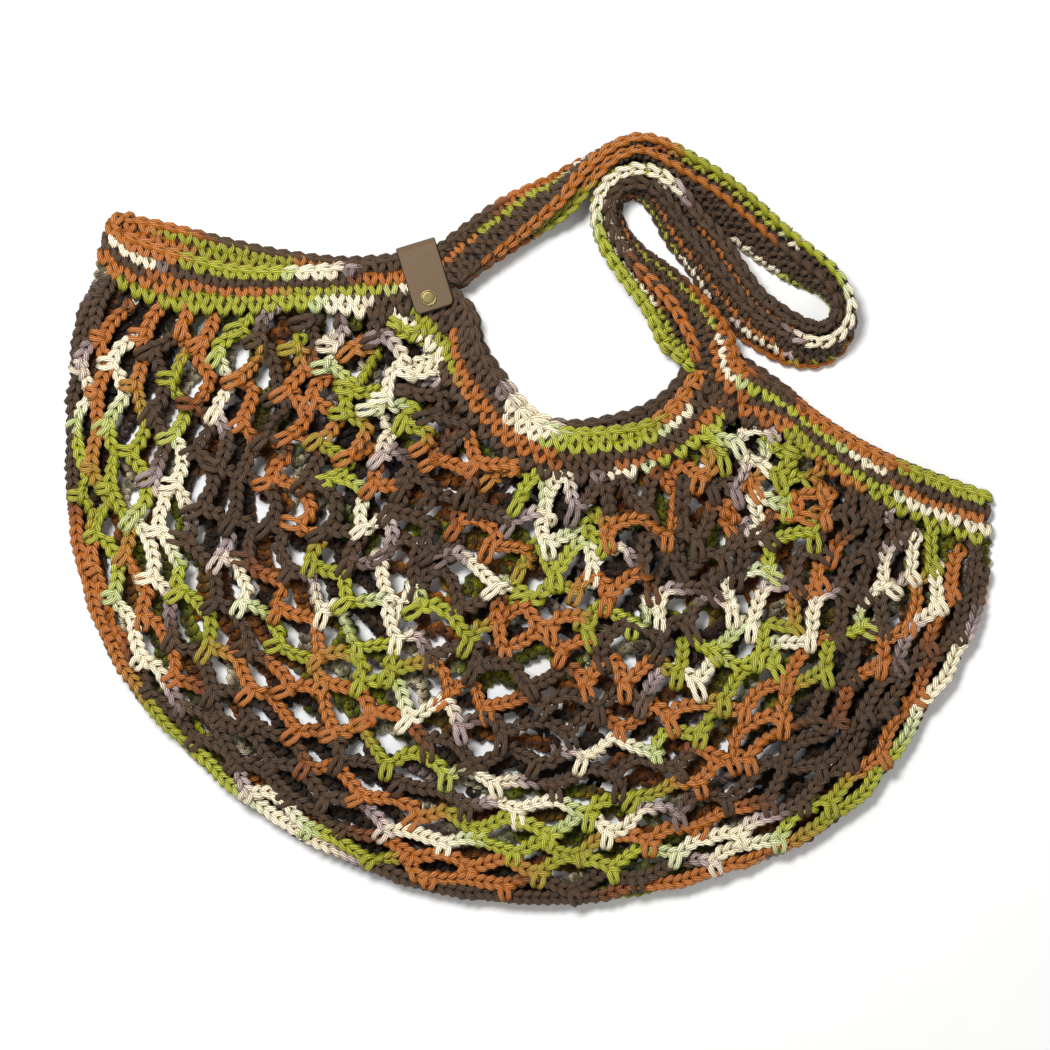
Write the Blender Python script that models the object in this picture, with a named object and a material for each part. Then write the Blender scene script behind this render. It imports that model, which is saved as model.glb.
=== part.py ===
# Crocheted half-moon market bag, lying flat on its back with both handles folded over to one side.
#
# The bag is seen from above: +X to the right, +Y towards the handles, +Z up, resting on z = 0.
# Tables are in millimetres; everything built from them is in metres.

import math

import bmesh
import bpy
import numpy as np
from mathutils import Vector

MM = 0.001
GAP = 0.3  # left between pieces that touch

# Crochet thicknesses and the levels at which the two sides lie
RIM_THICKNESS = 4.0
HANDLE_THICKNESS = 3.6
HANDLE_WIDTH = 19.5
NET_WALL = 3.0
BACK_RIM_LEVEL = RIM_THICKNESS / 2
FRONT_RIM_LEVEL = 14.5
CLOSED_RIM_LEVEL = RIM_THICKNESS * 1.5 + GAP  # where the front rim comes down on the back one
HALF_OPEN_RIM_LEVEL = 11.0
BACK_NET_LEVEL = NET_WALL / 2
FRONT_NET_LEVEL = 14.5

# Net: a diamond lattice, cut at about twice the pitch of the crocheted arches
NET_COLUMNS = 16
NET_ROWS = 10
STRAND_WIDTH = 8.0
MOST_STRAND_SHARE = 0.55  # of a small diamond's inner radius that its strands may take
SMALLEST_HOLE = 4.2
GATHER_HEIGHT = 0.9
GATHER_PERIOD = 4  # in half columns
UNEVENNESS = 1.6
UNEVENNESS_SEED = 7
OUTLINE_STEPS = 4
BORDER_SAMPLES = 400
FOLD_RADIUS = (FRONT_NET_LEVEL - BACK_NET_LEVEL) / 2
CORNER_FOLD_RADIUS = (CLOSED_RIM_LEVEL - BACK_NET_LEVEL) / 2
FOLD_STEPS = 4
NET_SEAM = 0.9  # from the rim's curve to the net's straight border pieces, nearer where it bends
CORNER_SEAM = 1.6  # the same at the two corners, where the fold rises to the rim

# Rows of single crochet that show as ribs along rims and handles
RIB_ROWS = 5
RIB_DEPTH = 0.35  # of the half thickness
FLAT_FACE = 0.94  # of the width, on the side without ribs
SECTION_STEPS = 2  # lofted sections for each row of a table

# Outer curve of the bag, from the left corner round the bottom to the right corner: x, y
OUTER_CURVE = (
    (-204, 94),
    (-209, 58),
    (-210, 20),
    (-202, -29),
    (-185, -69),
    (-160, -99),
    (-118, -135),
    (-66, -161),
    (-20, -172),
    (36, -172),
    (101, -157),
    (150, -129),
    (184, -84),
    (203, -53),
    (211, -24),
)

# Front rim, from the left corner past the handle's two ends to the right corner.
# top_x, top_y: edge at the mouth or the handle hole; low_x, low_y: edge at the net;
# level: height of the band's middle; peek: how far the back rim stands past the front one
RIM_SECTIONS = (
    (-187, 136, -192, 120, CLOSED_RIM_LEVEL, 2.5),
    (-175, 129, -180, 106, HALF_OPEN_RIM_LEVEL, 9.0),
    (-155, 122, -159, 98, FRONT_RIM_LEVEL, 11.5),
    (-132, 116, -136, 95, FRONT_RIM_LEVEL, 11.5),
    (-106, 115, -107, 97, FRONT_RIM_LEVEL, 7.5),
    (-81, 117, -82, 95, FRONT_RIM_LEVEL, 3.0),
    (-57, 121, -62, 92, FRONT_RIM_LEVEL, 0.5),
    (-40, 127, -54, 89, FRONT_RIM_LEVEL, 0.0),
    (-28, 121, -47, 85, FRONT_RIM_LEVEL, 0.0),
    (-22, 112, -42, 80, FRONT_RIM_LEVEL, 0.0),
    (-24, 97, -40, 74, FRONT_RIM_LEVEL, 1.0),
    (-21, 81, -37, 65, FRONT_RIM_LEVEL, 2.0),
    (-11, 65, -28, 50, FRONT_RIM_LEVEL, 2.5),
    (2, 49, -12, 33, FRONT_RIM_LEVEL, 3.0),
    (18, 43, 12, 21, FRONT_RIM_LEVEL, 3.5),
    (36, 43, 37, 20, FRONT_RIM_LEVEL, 5.0),
    (54, 46, 58, 25, FRONT_RIM_LEVEL, 7.0),
    (66, 55, 76, 35, FRONT_RIM_LEVEL, 5.5),
    (75, 67, 86, 43, FRONT_RIM_LEVEL, 5.0),
    (88, 76, 95, 46, FRONT_RIM_LEVEL, 3.0),
    (104, 73, 104, 46, FRONT_RIM_LEVEL, 2.0),
    (117, 61, 112, 44, FRONT_RIM_LEVEL, 1.0),
    (129, 51, 121, 37, FRONT_RIM_LEVEL, 0.5),
    (147, 39, 136, 24, FRONT_RIM_LEVEL, 0.5),
    (169, 28, 160, 10, FRONT_RIM_LEVEL, 0.5),
    (190, 20, 183, -1, HALF_OPEN_RIM_LEVEL, 0.5),
    (208, 14, 209, -9, CLOSED_RIM_LEVEL, 0.0),
)

# Front handle, from its left end to its right end, standing on edge between them.
# x, y: top edge; roll: 0 lies flat to the left of the way along, 90 stands upright;
# nest: how far to the right of it the back handle's top edge lies;
# lift: share of the height from the back rim to the front one
HANDLE_SECTIONS = (
    (-30, 107, 0, 0.0, 1.0),
    (-20, 115, 0, 0.0, 1.0),
    (-2, 129, 14, 2.0, 0.93),
    (16, 144, 45, 5.0, 0.6),
    (25, 156, 70, 5.4, 0.2),
    (35, 166, 88, 5.0, 0.0),
    (46, 172, 99, 5.2, 0.0),
    (55, 173, 107, 6.0, 0.0),
    (67, 169, 113, 7.0, 0.0),
    (88, 157, 121, 7.6, 0.0),
    (102, 146, 124, 7.5, 0.0),
    (116, 133, 121, 7.0, 0.0),
    (128, 123, 115, 6.8, 0.0),
    (138, 114, 104, 6.2, 0.0),
    (144, 104, 92, 5.8, 0.0),
    (145, 95, 85, 5.8, 0.0),
    (141, 87, 75, 6.6, 0.0),
    (133, 83, 60, 7.2, 0.0),
    (123, 85, 50, 7.0, 0.0),
    (112, 91, 47, 7.0, 0.0),
    (101, 99, 48, 7.4, 0.0),
    (92, 110, 52, 8.0, 0.0),
    (82, 123, 56, 9.0, 0.0),
    (73, 133, 60, 8.6, 0.0),
    (66, 144, 64, 7.6, 0.0),
    (59, 151, 69, 6.8, 0.0),
    (51, 154, 74, 6.2, 0.0),
    (43, 152, 77, 5.6, 0.0),
    (38, 146, 78, 5.6, 0.0),
    (37, 138, 75, 6.0, 0.0),
    (40, 128, 71, 6.4, 0.0),
    (48, 116, 62, 7.2, 0.04),
    (57, 107, 54, 9.0, 0.18),
    (64, 99, 46, 10.5, 0.4),
    (69, 91, 34, 11.5, 0.67),
    (74, 81, 16, 12.0, 0.93),
    (76, 71, 0, 12.0, 1.0),
    (79, 56, 0, 12.0, 1.0),
)

# Fold-over tag on the front rim, by the handle's left end
TAG_WIDTH = 18.2
TAG_FRONT_LENGTH = 29.0
TAG_BACK_LENGTH = 22.0
TAG_THICKNESS = 1.2
TAG_CORNER_RADIUS = 3.0
TAG_TURN = math.radians(17)
TAG_TOP_MIDDLE = (-49.4, 125.9)  # middle of its fold, on the rim's top edge
TAG_FOLD_STEPS = 8
TAG_CORNER_STEPS = 3

# Rivet that holds the tag's two flaps together through the rim
RIVET_RADIUS = 3.6
RIVET_CAP_HEIGHT = 1.3
RIVET_POST_RADIUS = 1.4
RIVET_BACK_RADIUS = 3.0
RIVET_BACK_HEIGHT = 0.9
RIVET_SIDES = 20
RIVET_FROM_FOLD = 25.0
RIVET_TO_SIDE = 1.4

UNDER = 0
OVER = 1


def clear_scene():
    for obj in list(bpy.data.objects):
        bpy.data.objects.remove(obj, do_unlink=True)


def make_material(name, colour, roughness, metallic=0.0):
    material = bpy.data.materials.new(name)
    material.use_nodes = True
    shader = material.node_tree.nodes["Principled BSDF"]
    shader.inputs["Base Color"].default_value = (*colour, 1.0)
    shader.inputs["Roughness"].default_value = roughness
    shader.inputs["Metallic"].default_value = metallic
    return material


def object_from(bm, name, material):
    """The finished mesh as a named object, in metres."""
    bmesh.ops.recalc_face_normals(bm, faces=bm.faces[:])
    bmesh.ops.scale(bm, vec=(MM, MM, MM), verts=bm.verts[:])
    mesh = bpy.data.meshes.new(name)
    bm.to_mesh(mesh)
    bm.free()
    mesh.shade_smooth()
    mesh.set_sharp_from_angle(angle=math.radians(40))
    obj = bpy.data.objects.new(name, mesh)
    bpy.context.scene.collection.objects.link(obj)
    obj.data.materials.append(material)
    return obj


def make_cutter(bm, name, material):
    cutter = object_from(bm, name, material)
    cutter.hide_render = True
    cutter.display_type = "WIRE"
    return cutter


def cut(obj, cutter):
    modifier = obj.modifiers.new("Cut", "BOOLEAN")
    modifier.operation = "DIFFERENCE"
    modifier.solver = "EXACT"
    modifier.object = cutter


def smooth_rows(rows, steps):
    """Table rows with further rows between them, on a smooth curve through every column."""
    rows = np.array(rows, float)
    padded = np.vstack((2 * rows[0] - rows[1], rows, 2 * rows[-1] - rows[-2]))
    found = []
    for before, start, end, after in zip(padded, padded[1:], padded[2:], padded[3:]):
        for t in np.arange(steps) / steps:
            found.append(
                0.5
                * (
                    2 * start
                    + (end - before) * t
                    + (2 * before - 5 * start + 4 * end - after) * t**2
                    + (3 * start - before - 3 * end + after) * t**3
                )
            )
    found.append(rows[-1])
    return np.array(found)


def even_points(points, count):
    """Points at equal distances along a curve given by its points."""
    steps = np.linalg.norm(np.diff(points, axis=0), axis=1)
    along = np.concatenate(([0.0], np.cumsum(steps)))
    wanted = np.linspace(0.0, along[-1], count)
    return np.stack([np.interp(wanted, along, column) for column in points.T], axis=1)


def ways_along(points):
    """Unit direction of travel at each point of a curve."""
    ways = np.gradient(points, axis=0)
    return ways / np.linalg.norm(ways, axis=1, keepdims=True)


def band_profile():
    """Half of a band's width by half its thickness: ribs on one face, flat on the other."""
    points = [(-1.0, 0.0)]
    for row in range(RIB_ROWS):
        middle = (2 * row + 1) / RIB_ROWS - 1
        points.append((middle, 1.0))
        if row < RIB_ROWS - 1:
            points.append((middle + 1 / RIB_ROWS, 1 - RIB_DEPTH))
    points += [(1.0, 0.0), (FLAT_FACE, -1.0), (-FLAT_FACE, -1.0)]
    return points


def plain_profile():
    return [(-1.0, 1.0), (1.0, 1.0), (1.0, -1.0), (-1.0, -1.0)]


def loft(sections, profile):
    """A closed band. A section is its middle, its half width across and its half thickness."""
    bm = bmesh.new()
    rings = []
    for middle, across, through in sections:
        rings.append([bm.verts.new(Vector(middle + across * a + through * b)) for a, b in profile])
    for ring, following in zip(rings, rings[1:]):
        for i in range(len(profile)):
            j = (i + 1) % len(profile)
            bm.faces.new((ring[i], ring[j], following[j], following[i]))
    bm.faces.new(rings[0])
    bm.faces.new(rings[-1][::-1])
    return bm


def rim_edges(side):
    """Top edge, lower edge and level of one side's rim, along its length."""
    rows = smooth_rows(RIM_SECTIONS, SECTION_STEPS)
    top, low, peek = rows[:, 0:2], rows[:, 2:4], rows[:, 5]
    level = np.minimum(rows[:, 4], FRONT_RIM_LEVEL)
    if side == UNDER:
        upward = (top - low) / np.linalg.norm(top - low, axis=1, keepdims=True)
        top = top + upward * peek[:, None]
        low = low + upward * peek[:, None]
        level = np.full(len(level), BACK_RIM_LEVEL)
    return top, low, level


def rim_sections(side, grown=0.0):
    top, low, level = rim_edges(side)
    across = (low - top) / 2
    across += grown * across / np.linalg.norm(across, axis=1, keepdims=True)
    sections = []
    for middle, half, z in zip((top + low) / 2, across, level):
        sections.append(
            (
                np.array((*middle, z)),
                np.array((*half, 0.0)),
                np.array((0.0, 0.0, RIM_THICKNESS / 2 + grown)),
            )
        )
    return sections


def handle_sections(side):
    """The band rolls about its own length and always rests its lowest edge, plus its lift."""
    rows = smooth_rows(HANDLE_SECTIONS, SECTION_STEPS)
    ways = ways_along(rows[:, 0:2])
    profile = band_profile()
    rise = FRONT_RIM_LEVEL - BACK_RIM_LEVEL
    sections = []
    for (x, y, roll, nest, lift), way in zip(rows, ways):
        left = np.array((-way[1], way[0], 0.0))
        up = np.array((0.0, 0.0, 1.0))
        turn = math.radians(roll)
        across = (math.cos(turn) * left - math.sin(turn) * up) * HANDLE_WIDTH / 2
        through = (math.cos(turn) * up + math.sin(turn) * left) * HANDLE_THICKNESS / 2
        lowest = min(across[2] * a + through[2] * b for a, b in profile)
        edge = np.array((x, y, 0.0))
        height = -lowest + (max(lift, 0.0) * rise if side == OVER else 0.0)
        if side == UNDER:
            edge -= left * nest
        middle = edge + across
        middle[2] = height
        sections.append((middle, across, through))
    return sections


def make_rims(material):
    profile = band_profile()
    for name, side in (("rim_back", UNDER), ("rim_front", OVER)):
        yield side, object_from(loft(rim_sections(side), profile), name, material)


def make_handles(material):
    """Each handle grows out of its rim, so its ends are cut to the rim's edge."""
    profile = band_profile()
    for name, side in (("handle_back", UNDER), ("handle_front", OVER)):
        handle = object_from(loft(handle_sections(side), profile), name, material)
        grown_rim = loft(rim_sections(side, grown=GAP), plain_profile())
        cut(handle, make_cutter(grown_rim, f"{name}_end_cutter", material))


def net_lattice(side):
    """Place of the lattice at (row, half column); row 0 is at the outer fold, the last at the rim."""
    columns = 2 * NET_COLUMNS + 1
    net_level = FRONT_NET_LEVEL if side == OVER else BACK_NET_LEVEL
    outer = even_points(smooth_rows(OUTER_CURVE, OUTLINE_STEPS), columns)
    ways = ways_along(outer)
    inward = np.stack((-ways[:, 1], ways[:, 0]), axis=1)
    outer = outer + inward * (FOLD_RADIUS + NET_WALL / 2)
    _, low, level = rim_edges(side)
    length = np.linalg.norm(np.diff(low, axis=0), axis=1).sum()
    trim = round(BORDER_SAMPLES * (CORNER_FOLD_RADIUS + NET_WALL / 2) / length)
    border = even_points(np.column_stack((low, level)), BORDER_SAMPLES)[trim:-trim]
    border = even_points(border, columns)
    rim, rim_level = border[:, :2], border[:, 2]
    rim_ways = ways_along(rim)
    seam = np.full((columns, 1), NET_SEAM)
    seam[0] = seam[-1] = CORNER_SEAM
    rim = rim + np.stack((rim_ways[:, 1], -rim_ways[:, 0]), axis=1) * seam
    if side == UNDER:
        rim_level = np.full(columns, net_level)
    outer = np.column_stack((outer, np.full(columns, net_level)))
    rim = np.column_stack((rim, rim_level))
    shares = np.linspace(0.0, 1.0, NET_ROWS + 1)[:, None, None]
    return outer[None] * (1 - shares) + rim[None] * shares


def is_knot(column, row):
    return (column + row) % 2 == 0


def net_vertices(bm, side, uneven):
    """Knots of one wall, with the points between them along its two long borders."""
    lattice = net_lattice(side)
    found = {}
    for row in range(NET_ROWS + 1):
        for column in range(2 * NET_COLUMNS + 1):
            border = row in (0, NET_ROWS)
            if not border and not is_knot(column, row):
                continue
            x, y, level = lattice[row, column]
            inside = not border and 0 < column < 2 * NET_COLUMNS
            if inside:
                x += uneven.uniform(-1, 1) * UNEVENNESS
                y += uneven.uniform(-1, 1) * UNEVENNESS
            if side == OVER:
                wave = math.cos(2 * math.pi * column / GATHER_PERIOD) if inside else 0.0
                level += GATHER_HEIGHT * wave * row / NET_ROWS
            found[column, row] = bm.verts.new((x, y, level))
    return found


def net_faces(bm, verts):
    """Diamonds between the knots, with the half diamonds that fill the borders."""
    diamonds = []
    last_column = 2 * NET_COLUMNS
    for row in range(NET_ROWS + 1):
        for column in range(last_column + 1):
            if is_knot(column, row):
                continue
            around = [(column, row - 1), (column + 1, row), (column, row + 1), (column - 1, row)]
            if row in (0, NET_ROWS):
                beyond = row - 1 if row == 0 else row + 1
                around = [(column, row) if place == (column, beyond) else place for place in around]
            corners = [verts[place] for place in around if place in verts]
            face = bm.faces.new(corners)
            if 0 < row < NET_ROWS and 0 < column < last_column:
                diamonds.append(face)
    return diamonds


def open_diamonds(bm, diamonds):
    """Cuts a hole in each diamond that leaves one of useful size inside its strands."""
    holes = []
    for face in diamonds:
        inner_radius = 2 * face.calc_area() / face.calc_perimeter()
        margin = min(STRAND_WIDTH / 2, inner_radius * MOST_STRAND_SHARE)
        if 2 * (inner_radius - margin) < SMALLEST_HOLE:
            continue
        bmesh.ops.inset_individual(bm, faces=[face], thickness=margin, use_even_offset=True)
        holes.append(face)
    bmesh.ops.delete(bm, geom=holes, context="FACES_ONLY")


def border_places():
    """The lattice places round one wall's fold, from the left corner to the right one."""
    last_column = 2 * NET_COLUMNS
    left = [(0, row) for row in range(NET_ROWS, 0, -2)]
    bottom = [(column, 0) for column in range(last_column + 1)]
    right = [(last_column, row) for row in range(2, NET_ROWS + 1, 2)]
    return left + bottom + right


def along_rim(verts, start, end):
    """Unit way in plan between two places on a wall's border at the rim."""
    return np.array((verts[end, NET_ROWS].co - verts[start, NET_ROWS].co).normalized())[:2]


def fold_walls(bm, under, over):
    """Joins the two walls round the outer curve by a half-round fold."""
    places = border_places()
    low = np.array([under[place].co for place in places])
    high = np.array([over[place].co for place in places])
    ways = ways_along((low + high)[:, :2] / 2)
    outward = np.stack((ways[:, 1], -ways[:, 0]), axis=1)
    outward[0] = along_rim(under, 2, 0)
    outward[-1] = along_rim(under, 2 * NET_COLUMNS - 2, 2 * NET_COLUMNS)
    previous = [under[place] for place in places]
    for step in range(1, FOLD_STEPS + 1):
        angle = math.pi * step / FOLD_STEPS
        share = (1 - math.cos(angle)) / 2
        if step == FOLD_STEPS:
            current = [over[place] for place in places]
        else:
            current = []
            for start, end, out in zip(low, high, outward):
                place = start * (1 - share) + end * share
                place[:2] += out * (end[2] - start[2]) / 2 * math.sin(angle)
                current.append(bm.verts.new(place))
        for i in range(len(places) - 1):
            bm.faces.new((previous[i], previous[i + 1], current[i + 1], current[i]))
        previous = current


def make_net(material):
    """Front and back net in one piece, hollow, folded round the outer curve and open at the rim."""
    uneven = np.random.default_rng(UNEVENNESS_SEED)
    bm = bmesh.new()
    walls = {side: net_vertices(bm, side, uneven) for side in (UNDER, OVER)}
    diamonds = []
    for side in (UNDER, OVER):
        diamonds += net_faces(bm, walls[side])
    fold_walls(bm, walls[UNDER], walls[OVER])
    bmesh.ops.recalc_face_normals(bm, faces=bm.faces[:])
    open_diamonds(bm, diamonds)
    net = object_from(bm, "net_body", material)
    wall = net.modifiers.new("Wall", "SOLIDIFY")
    wall.thickness = NET_WALL * MM
    wall.offset = 0.0
    wall.use_even_offset = True
    return net


def tag_frame():
    """Middle of the tag's fold, its way along the rim and its way down the flap."""
    along = np.array((math.cos(TAG_TURN), math.sin(TAG_TURN), 0.0))
    down = np.array((math.sin(TAG_TURN), -math.cos(TAG_TURN), 0.0))
    return np.array((*TAG_TOP_MIDDLE, 0.0)), along, down


def tag_half_width(to_end):
    """Half width at a distance from a flap's end, with its corners rounded off."""
    inside = max(TAG_CORNER_RADIUS - to_end, 0.0)
    return TAG_WIDTH / 2 - TAG_CORNER_RADIUS + math.sqrt(TAG_CORNER_RADIUS**2 - inside**2)


def tag_path():
    """Down position, height and half width along the strip, from front end to back end."""
    bend = RIM_THICKNESS / 2 + GAP + TAG_THICKNESS / 2
    turns = [math.pi / 2 * i / TAG_CORNER_STEPS for i in range(TAG_CORNER_STEPS + 1)]
    corner = [TAG_CORNER_RADIUS * (1 - math.cos(turn)) for turn in turns]
    path = []
    for to_end in corner:
        down = TAG_FRONT_LENGTH - to_end
        path.append((down, FRONT_RIM_LEVEL + bend, tag_half_width(to_end)))
    for i in range(TAG_FOLD_STEPS + 1):
        angle = math.pi * i / TAG_FOLD_STEPS
        down = bend * (1 - math.sin(angle))
        path.append((down, FRONT_RIM_LEVEL + bend * math.cos(angle), TAG_WIDTH / 2))
    for to_end in reversed(corner):
        down = TAG_BACK_LENGTH - to_end
        path.append((down, FRONT_RIM_LEVEL - bend, tag_half_width(to_end)))
    return path


def post_cutter(name, material):
    """A drill for the rivet's post, through both flaps and the rim."""
    bm = bmesh.new()
    bmesh.ops.create_cone(
        bm,
        cap_ends=True,
        segments=RIVET_SIDES,
        radius1=RIVET_POST_RADIUS + GAP,
        radius2=RIVET_POST_RADIUS + GAP,
        depth=4 * RIM_THICKNESS,
    )
    bmesh.ops.translate(bm, vec=(*rivet_place(), FRONT_RIM_LEVEL), verts=bm.verts[:])
    return make_cutter(bm, name, material)


def make_tag(leather):
    origin, along, down_way = tag_frame()
    bm = bmesh.new()
    rows = []
    for down, height, half_width in tag_path():
        middle = origin + down_way * down + np.array((0.0, 0.0, height))
        rows.append([bm.verts.new(Vector(middle + along * half_width * side)) for side in (-1, 0, 1)])
    for row, following in zip(rows, rows[1:]):
        for i in range(2):
            bm.faces.new((row[i], row[i + 1], following[i + 1], following[i]))
    tag = object_from(bm, "tag", leather)
    sheet = tag.modifiers.new("Leather", "SOLIDIFY")
    sheet.thickness = TAG_THICKNESS * MM
    sheet.offset = 0.0
    sheet.use_even_offset = True
    cut(tag, post_cutter("tag_hole_cutter", leather))
    return tag


def rivet_place():
    origin, along, down_way = tag_frame()
    return (origin + down_way * RIVET_FROM_FOLD + along * -RIVET_TO_SIDE)[:2]


def make_rivet(brass):
    """Domed cap, post and back cap, turned about one axis."""
    flap = RIM_THICKNESS / 2 + GAP + TAG_THICKNESS
    cap_seat = FRONT_RIM_LEVEL + flap + GAP
    back_seat = FRONT_RIM_LEVEL - flap - GAP
    profile = [
        (0.0, cap_seat + RIVET_CAP_HEIGHT),
        (RIVET_RADIUS * 0.5, cap_seat + RIVET_CAP_HEIGHT * 0.94),
        (RIVET_RADIUS * 0.8, cap_seat + RIVET_CAP_HEIGHT * 0.75),
        (RIVET_RADIUS, cap_seat + RIVET_CAP_HEIGHT * 0.35),
        (RIVET_RADIUS, cap_seat),
        (RIVET_POST_RADIUS, cap_seat),
        (RIVET_POST_RADIUS, back_seat),
        (RIVET_BACK_RADIUS, back_seat),
        (RIVET_BACK_RADIUS, back_seat - RIVET_BACK_HEIGHT * 0.5),
        (RIVET_BACK_RADIUS * 0.7, back_seat - RIVET_BACK_HEIGHT),
        (0.0, back_seat - RIVET_BACK_HEIGHT),
    ]
    bm = bmesh.new()
    verts = [bm.verts.new((r, 0.0, z)) for r, z in profile]
    edges = [bm.edges.new(pair) for pair in zip(verts, verts[1:])]
    bmesh.ops.spin(
        bm,
        geom=verts + edges,
        cent=(0, 0, 0),
        axis=(0, 0, 1),
        angle=2 * math.pi,
        steps=RIVET_SIDES,
        use_merge=True,
        use_duplicate=False,
    )
    bmesh.ops.remove_doubles(bm, verts=bm.verts[:], dist=0.001)
    bmesh.ops.translate(bm, vec=(*rivet_place(), 0.0), verts=bm.verts[:])
    return object_from(bm, "tag_rivet", brass)


def main():
    clear_scene()
    net_yarn = make_material("net_yarn", (0.22, 0.15, 0.05), 0.85)
    rim_yarn = make_material("rim_yarn", (0.30, 0.13, 0.05), 0.85)
    leather = make_material("tag_leather", (0.17, 0.12, 0.08), 0.55)
    brass = make_material("rivet_brass", (0.62, 0.46, 0.20), 0.3, metallic=1.0)
    make_net(net_yarn)
    for side, rim in make_rims(rim_yarn):
        if side == OVER:
            cut(rim, post_cutter("rim_hole_cutter", rim_yarn))
    make_handles(rim_yarn)
    make_tag(leather)
    make_rivet(brass)


main()
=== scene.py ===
# Crocheted half-moon market bag: the looks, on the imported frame.
#
# Every visible stitch is a loop of yarn. The net is a zigzag chain in each row, held to the row outside
# it by the legs of single crochet. Rims and handles are ribbons of single crochet with chained edges.
# Sizes are in millimetres, and places in the plan of the frame: +X right, +Y towards the handles, +Z up.

import math

import bpy
import numpy as np
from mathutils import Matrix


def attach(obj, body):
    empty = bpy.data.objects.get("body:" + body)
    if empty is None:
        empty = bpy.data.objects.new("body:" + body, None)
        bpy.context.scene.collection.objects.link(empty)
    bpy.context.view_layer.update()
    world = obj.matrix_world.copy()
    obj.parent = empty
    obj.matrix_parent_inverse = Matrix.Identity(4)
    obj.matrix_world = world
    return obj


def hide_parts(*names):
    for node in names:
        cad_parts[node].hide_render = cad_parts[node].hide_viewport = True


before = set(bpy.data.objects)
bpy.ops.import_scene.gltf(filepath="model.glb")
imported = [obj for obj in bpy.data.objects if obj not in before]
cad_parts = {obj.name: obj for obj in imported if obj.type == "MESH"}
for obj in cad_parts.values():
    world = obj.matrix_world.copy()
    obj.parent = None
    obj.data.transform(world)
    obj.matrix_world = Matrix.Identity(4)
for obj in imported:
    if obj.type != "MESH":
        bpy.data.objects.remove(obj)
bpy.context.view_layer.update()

MM = 0.001
RANDOM_SEED = 5
UP = np.array((0.0, 0.0, 1.0))
FRONT = 1
BACK = -1
SIDE_NAMES = {FRONT: "front", BACK: "back"}

# Camera
PHOTO_WIDTH = 472.5  # what the photograph's width spans, at the height of the bag
BAG_MIDDLE_HEIGHT = 10.0
CAMERA_PLACE = (-0.2, -0.2, 1900.0)
SENSOR_WIDTH = 36.0
FARTHEST_VIEW = 100.0  # metres

FLOOR_SIZE = 3000.0
# Lights: place and size in metres, power in watts
KEY_LIGHT = ((-0.45, 0.6, 1.8), 0.6, 52.0)
FILL_LIGHT = ((0.7, -0.5, 1.7), 1.6, 8.0)
WORLD_LIGHT = 0.32  # strength of the white light all round

# Yarn of worsted cotton: radii of its strands
LEG_YARN = 1.4
RIM_YARN = 1.5
HANDLE_YARN = 1.35
CORE_YARN = 0.7  # of the strand behind the net's links
PLIES = 7
PLY_TWIST = 26.0  # length of yarn in which a ply goes once round it
FLATTENED = 0.2  # height at which yarn that rests on the floor is pressed flat

# How open to the light a point of a loop is, from 0 deep between the strands to 1 on top; the yarn's colour
# gets painted shade from it
MIDDLE_OPENNESS = 0.55
RISE_OPENNESS = 0.3  # more on top of the loop, and less at its bottom
FACING_OPENNESS = 0.3  # more where a strand's side faces out of the cloth, and less where it faces in
# The strand behind the links is painted in shade, at this openness
CORE_OPENNESS = 0.35
SHADE_DEPTH = 1.5  # how far below the middle of its loop a strand's painted shade is darkest

# The variegated yarn's main colours in their order, and where each starts and ends in the yarn's repeat
ORANGE, GREEN, CREAM, BROWN = range(4)
BANDS = ((0.0, 0.19), (0.27, 0.41), (0.475, 0.56), (0.64, 0.94))
BLEND_LENGTH = 3.0  # on each side of the place where one colour turns into the next
BLEND_SHARE = 0.3  # of a short run, where that is less

# Points that smoothed curves have for each one in their tables
CURVE_STEPS = 6
BAND_STEPS = 4
CHAIN_STEPS = 3
RIVET_CAP_STEPS = 3

# Net
HALF_COLUMNS = 44
NET_ROWS = 17
ROW_DEPTH = 0.855  # share of the rows' depth that grows evenly; the rest grows with the square
DEPTH = 193.0  # from the outer curve to the rim, in the middle
LAST_LEFT_COLUMN = 5.0  # half columns that end along the left stretch of rim
LAST_RIGHT_COLUMN = 39.0
END_MARGIN = 0.4  # half columns at each end of a row that hold no stitch
RIM_LEFT_SHARE = 0.325  # where the rim's middle stretch starts and ends, as shares of its length
RIM_RIGHT_SHARE = 0.75
RIM_TO_NET = 1.0  # from the rim's lower edge to the net's
OUTER_INSET = 3.5  # of the outermost chain from the outer curve
OUTER_FLATTENED = 2.0  # how much less the outermost row zigzags
RISE_FROM_RIM = 3.0  # for each half column away from the rim's side stretches
FRONT_RISE_LENGTH = 12.0  # depth in which the front net rises most of the way from the outer fold
BACK_FALL = 0.3  # of the back net from the outer fold, for each millimetre of depth
GATHER_HEIGHT = 3.2  # of the arches at the rim, up and down in turn
GATHER_SHIFT = 0.35  # of a half column, towards the troughs
USUAL_ROW_PITCH = 10.0  # between rows whose stitches have their full length
LEAST_CROWDED_LENGTH = 0.6  # share of its length that a stitch keeps where rows lie close
WAY_STEP = 0.03  # share of the depth, either way, over which the way outward is taken
BACK_ROW_SHIFT = 0.15  # rows by which the back net lies off the front one
PEAK_TO_KNOT = 5.7  # from the peak of an arch to the stitch that holds it
PEAK_HALF_LENGTH = 1.8  # of the straight stretch of chain across a peak
PEAK_YARN = 0.108  # of an arch's yarn, from the middle of a peak to each of its ends
PEAK_LIFT = -1.1  # out of the cloth
KNOT_LIFT = 0.9
LONG_SPAN = 6.0  # of the zigzag; longer spans are arms, with a bend in their middle
SHORTEST_CHAIN = 4  # points; a shorter part of a row's chain is left out
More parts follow.
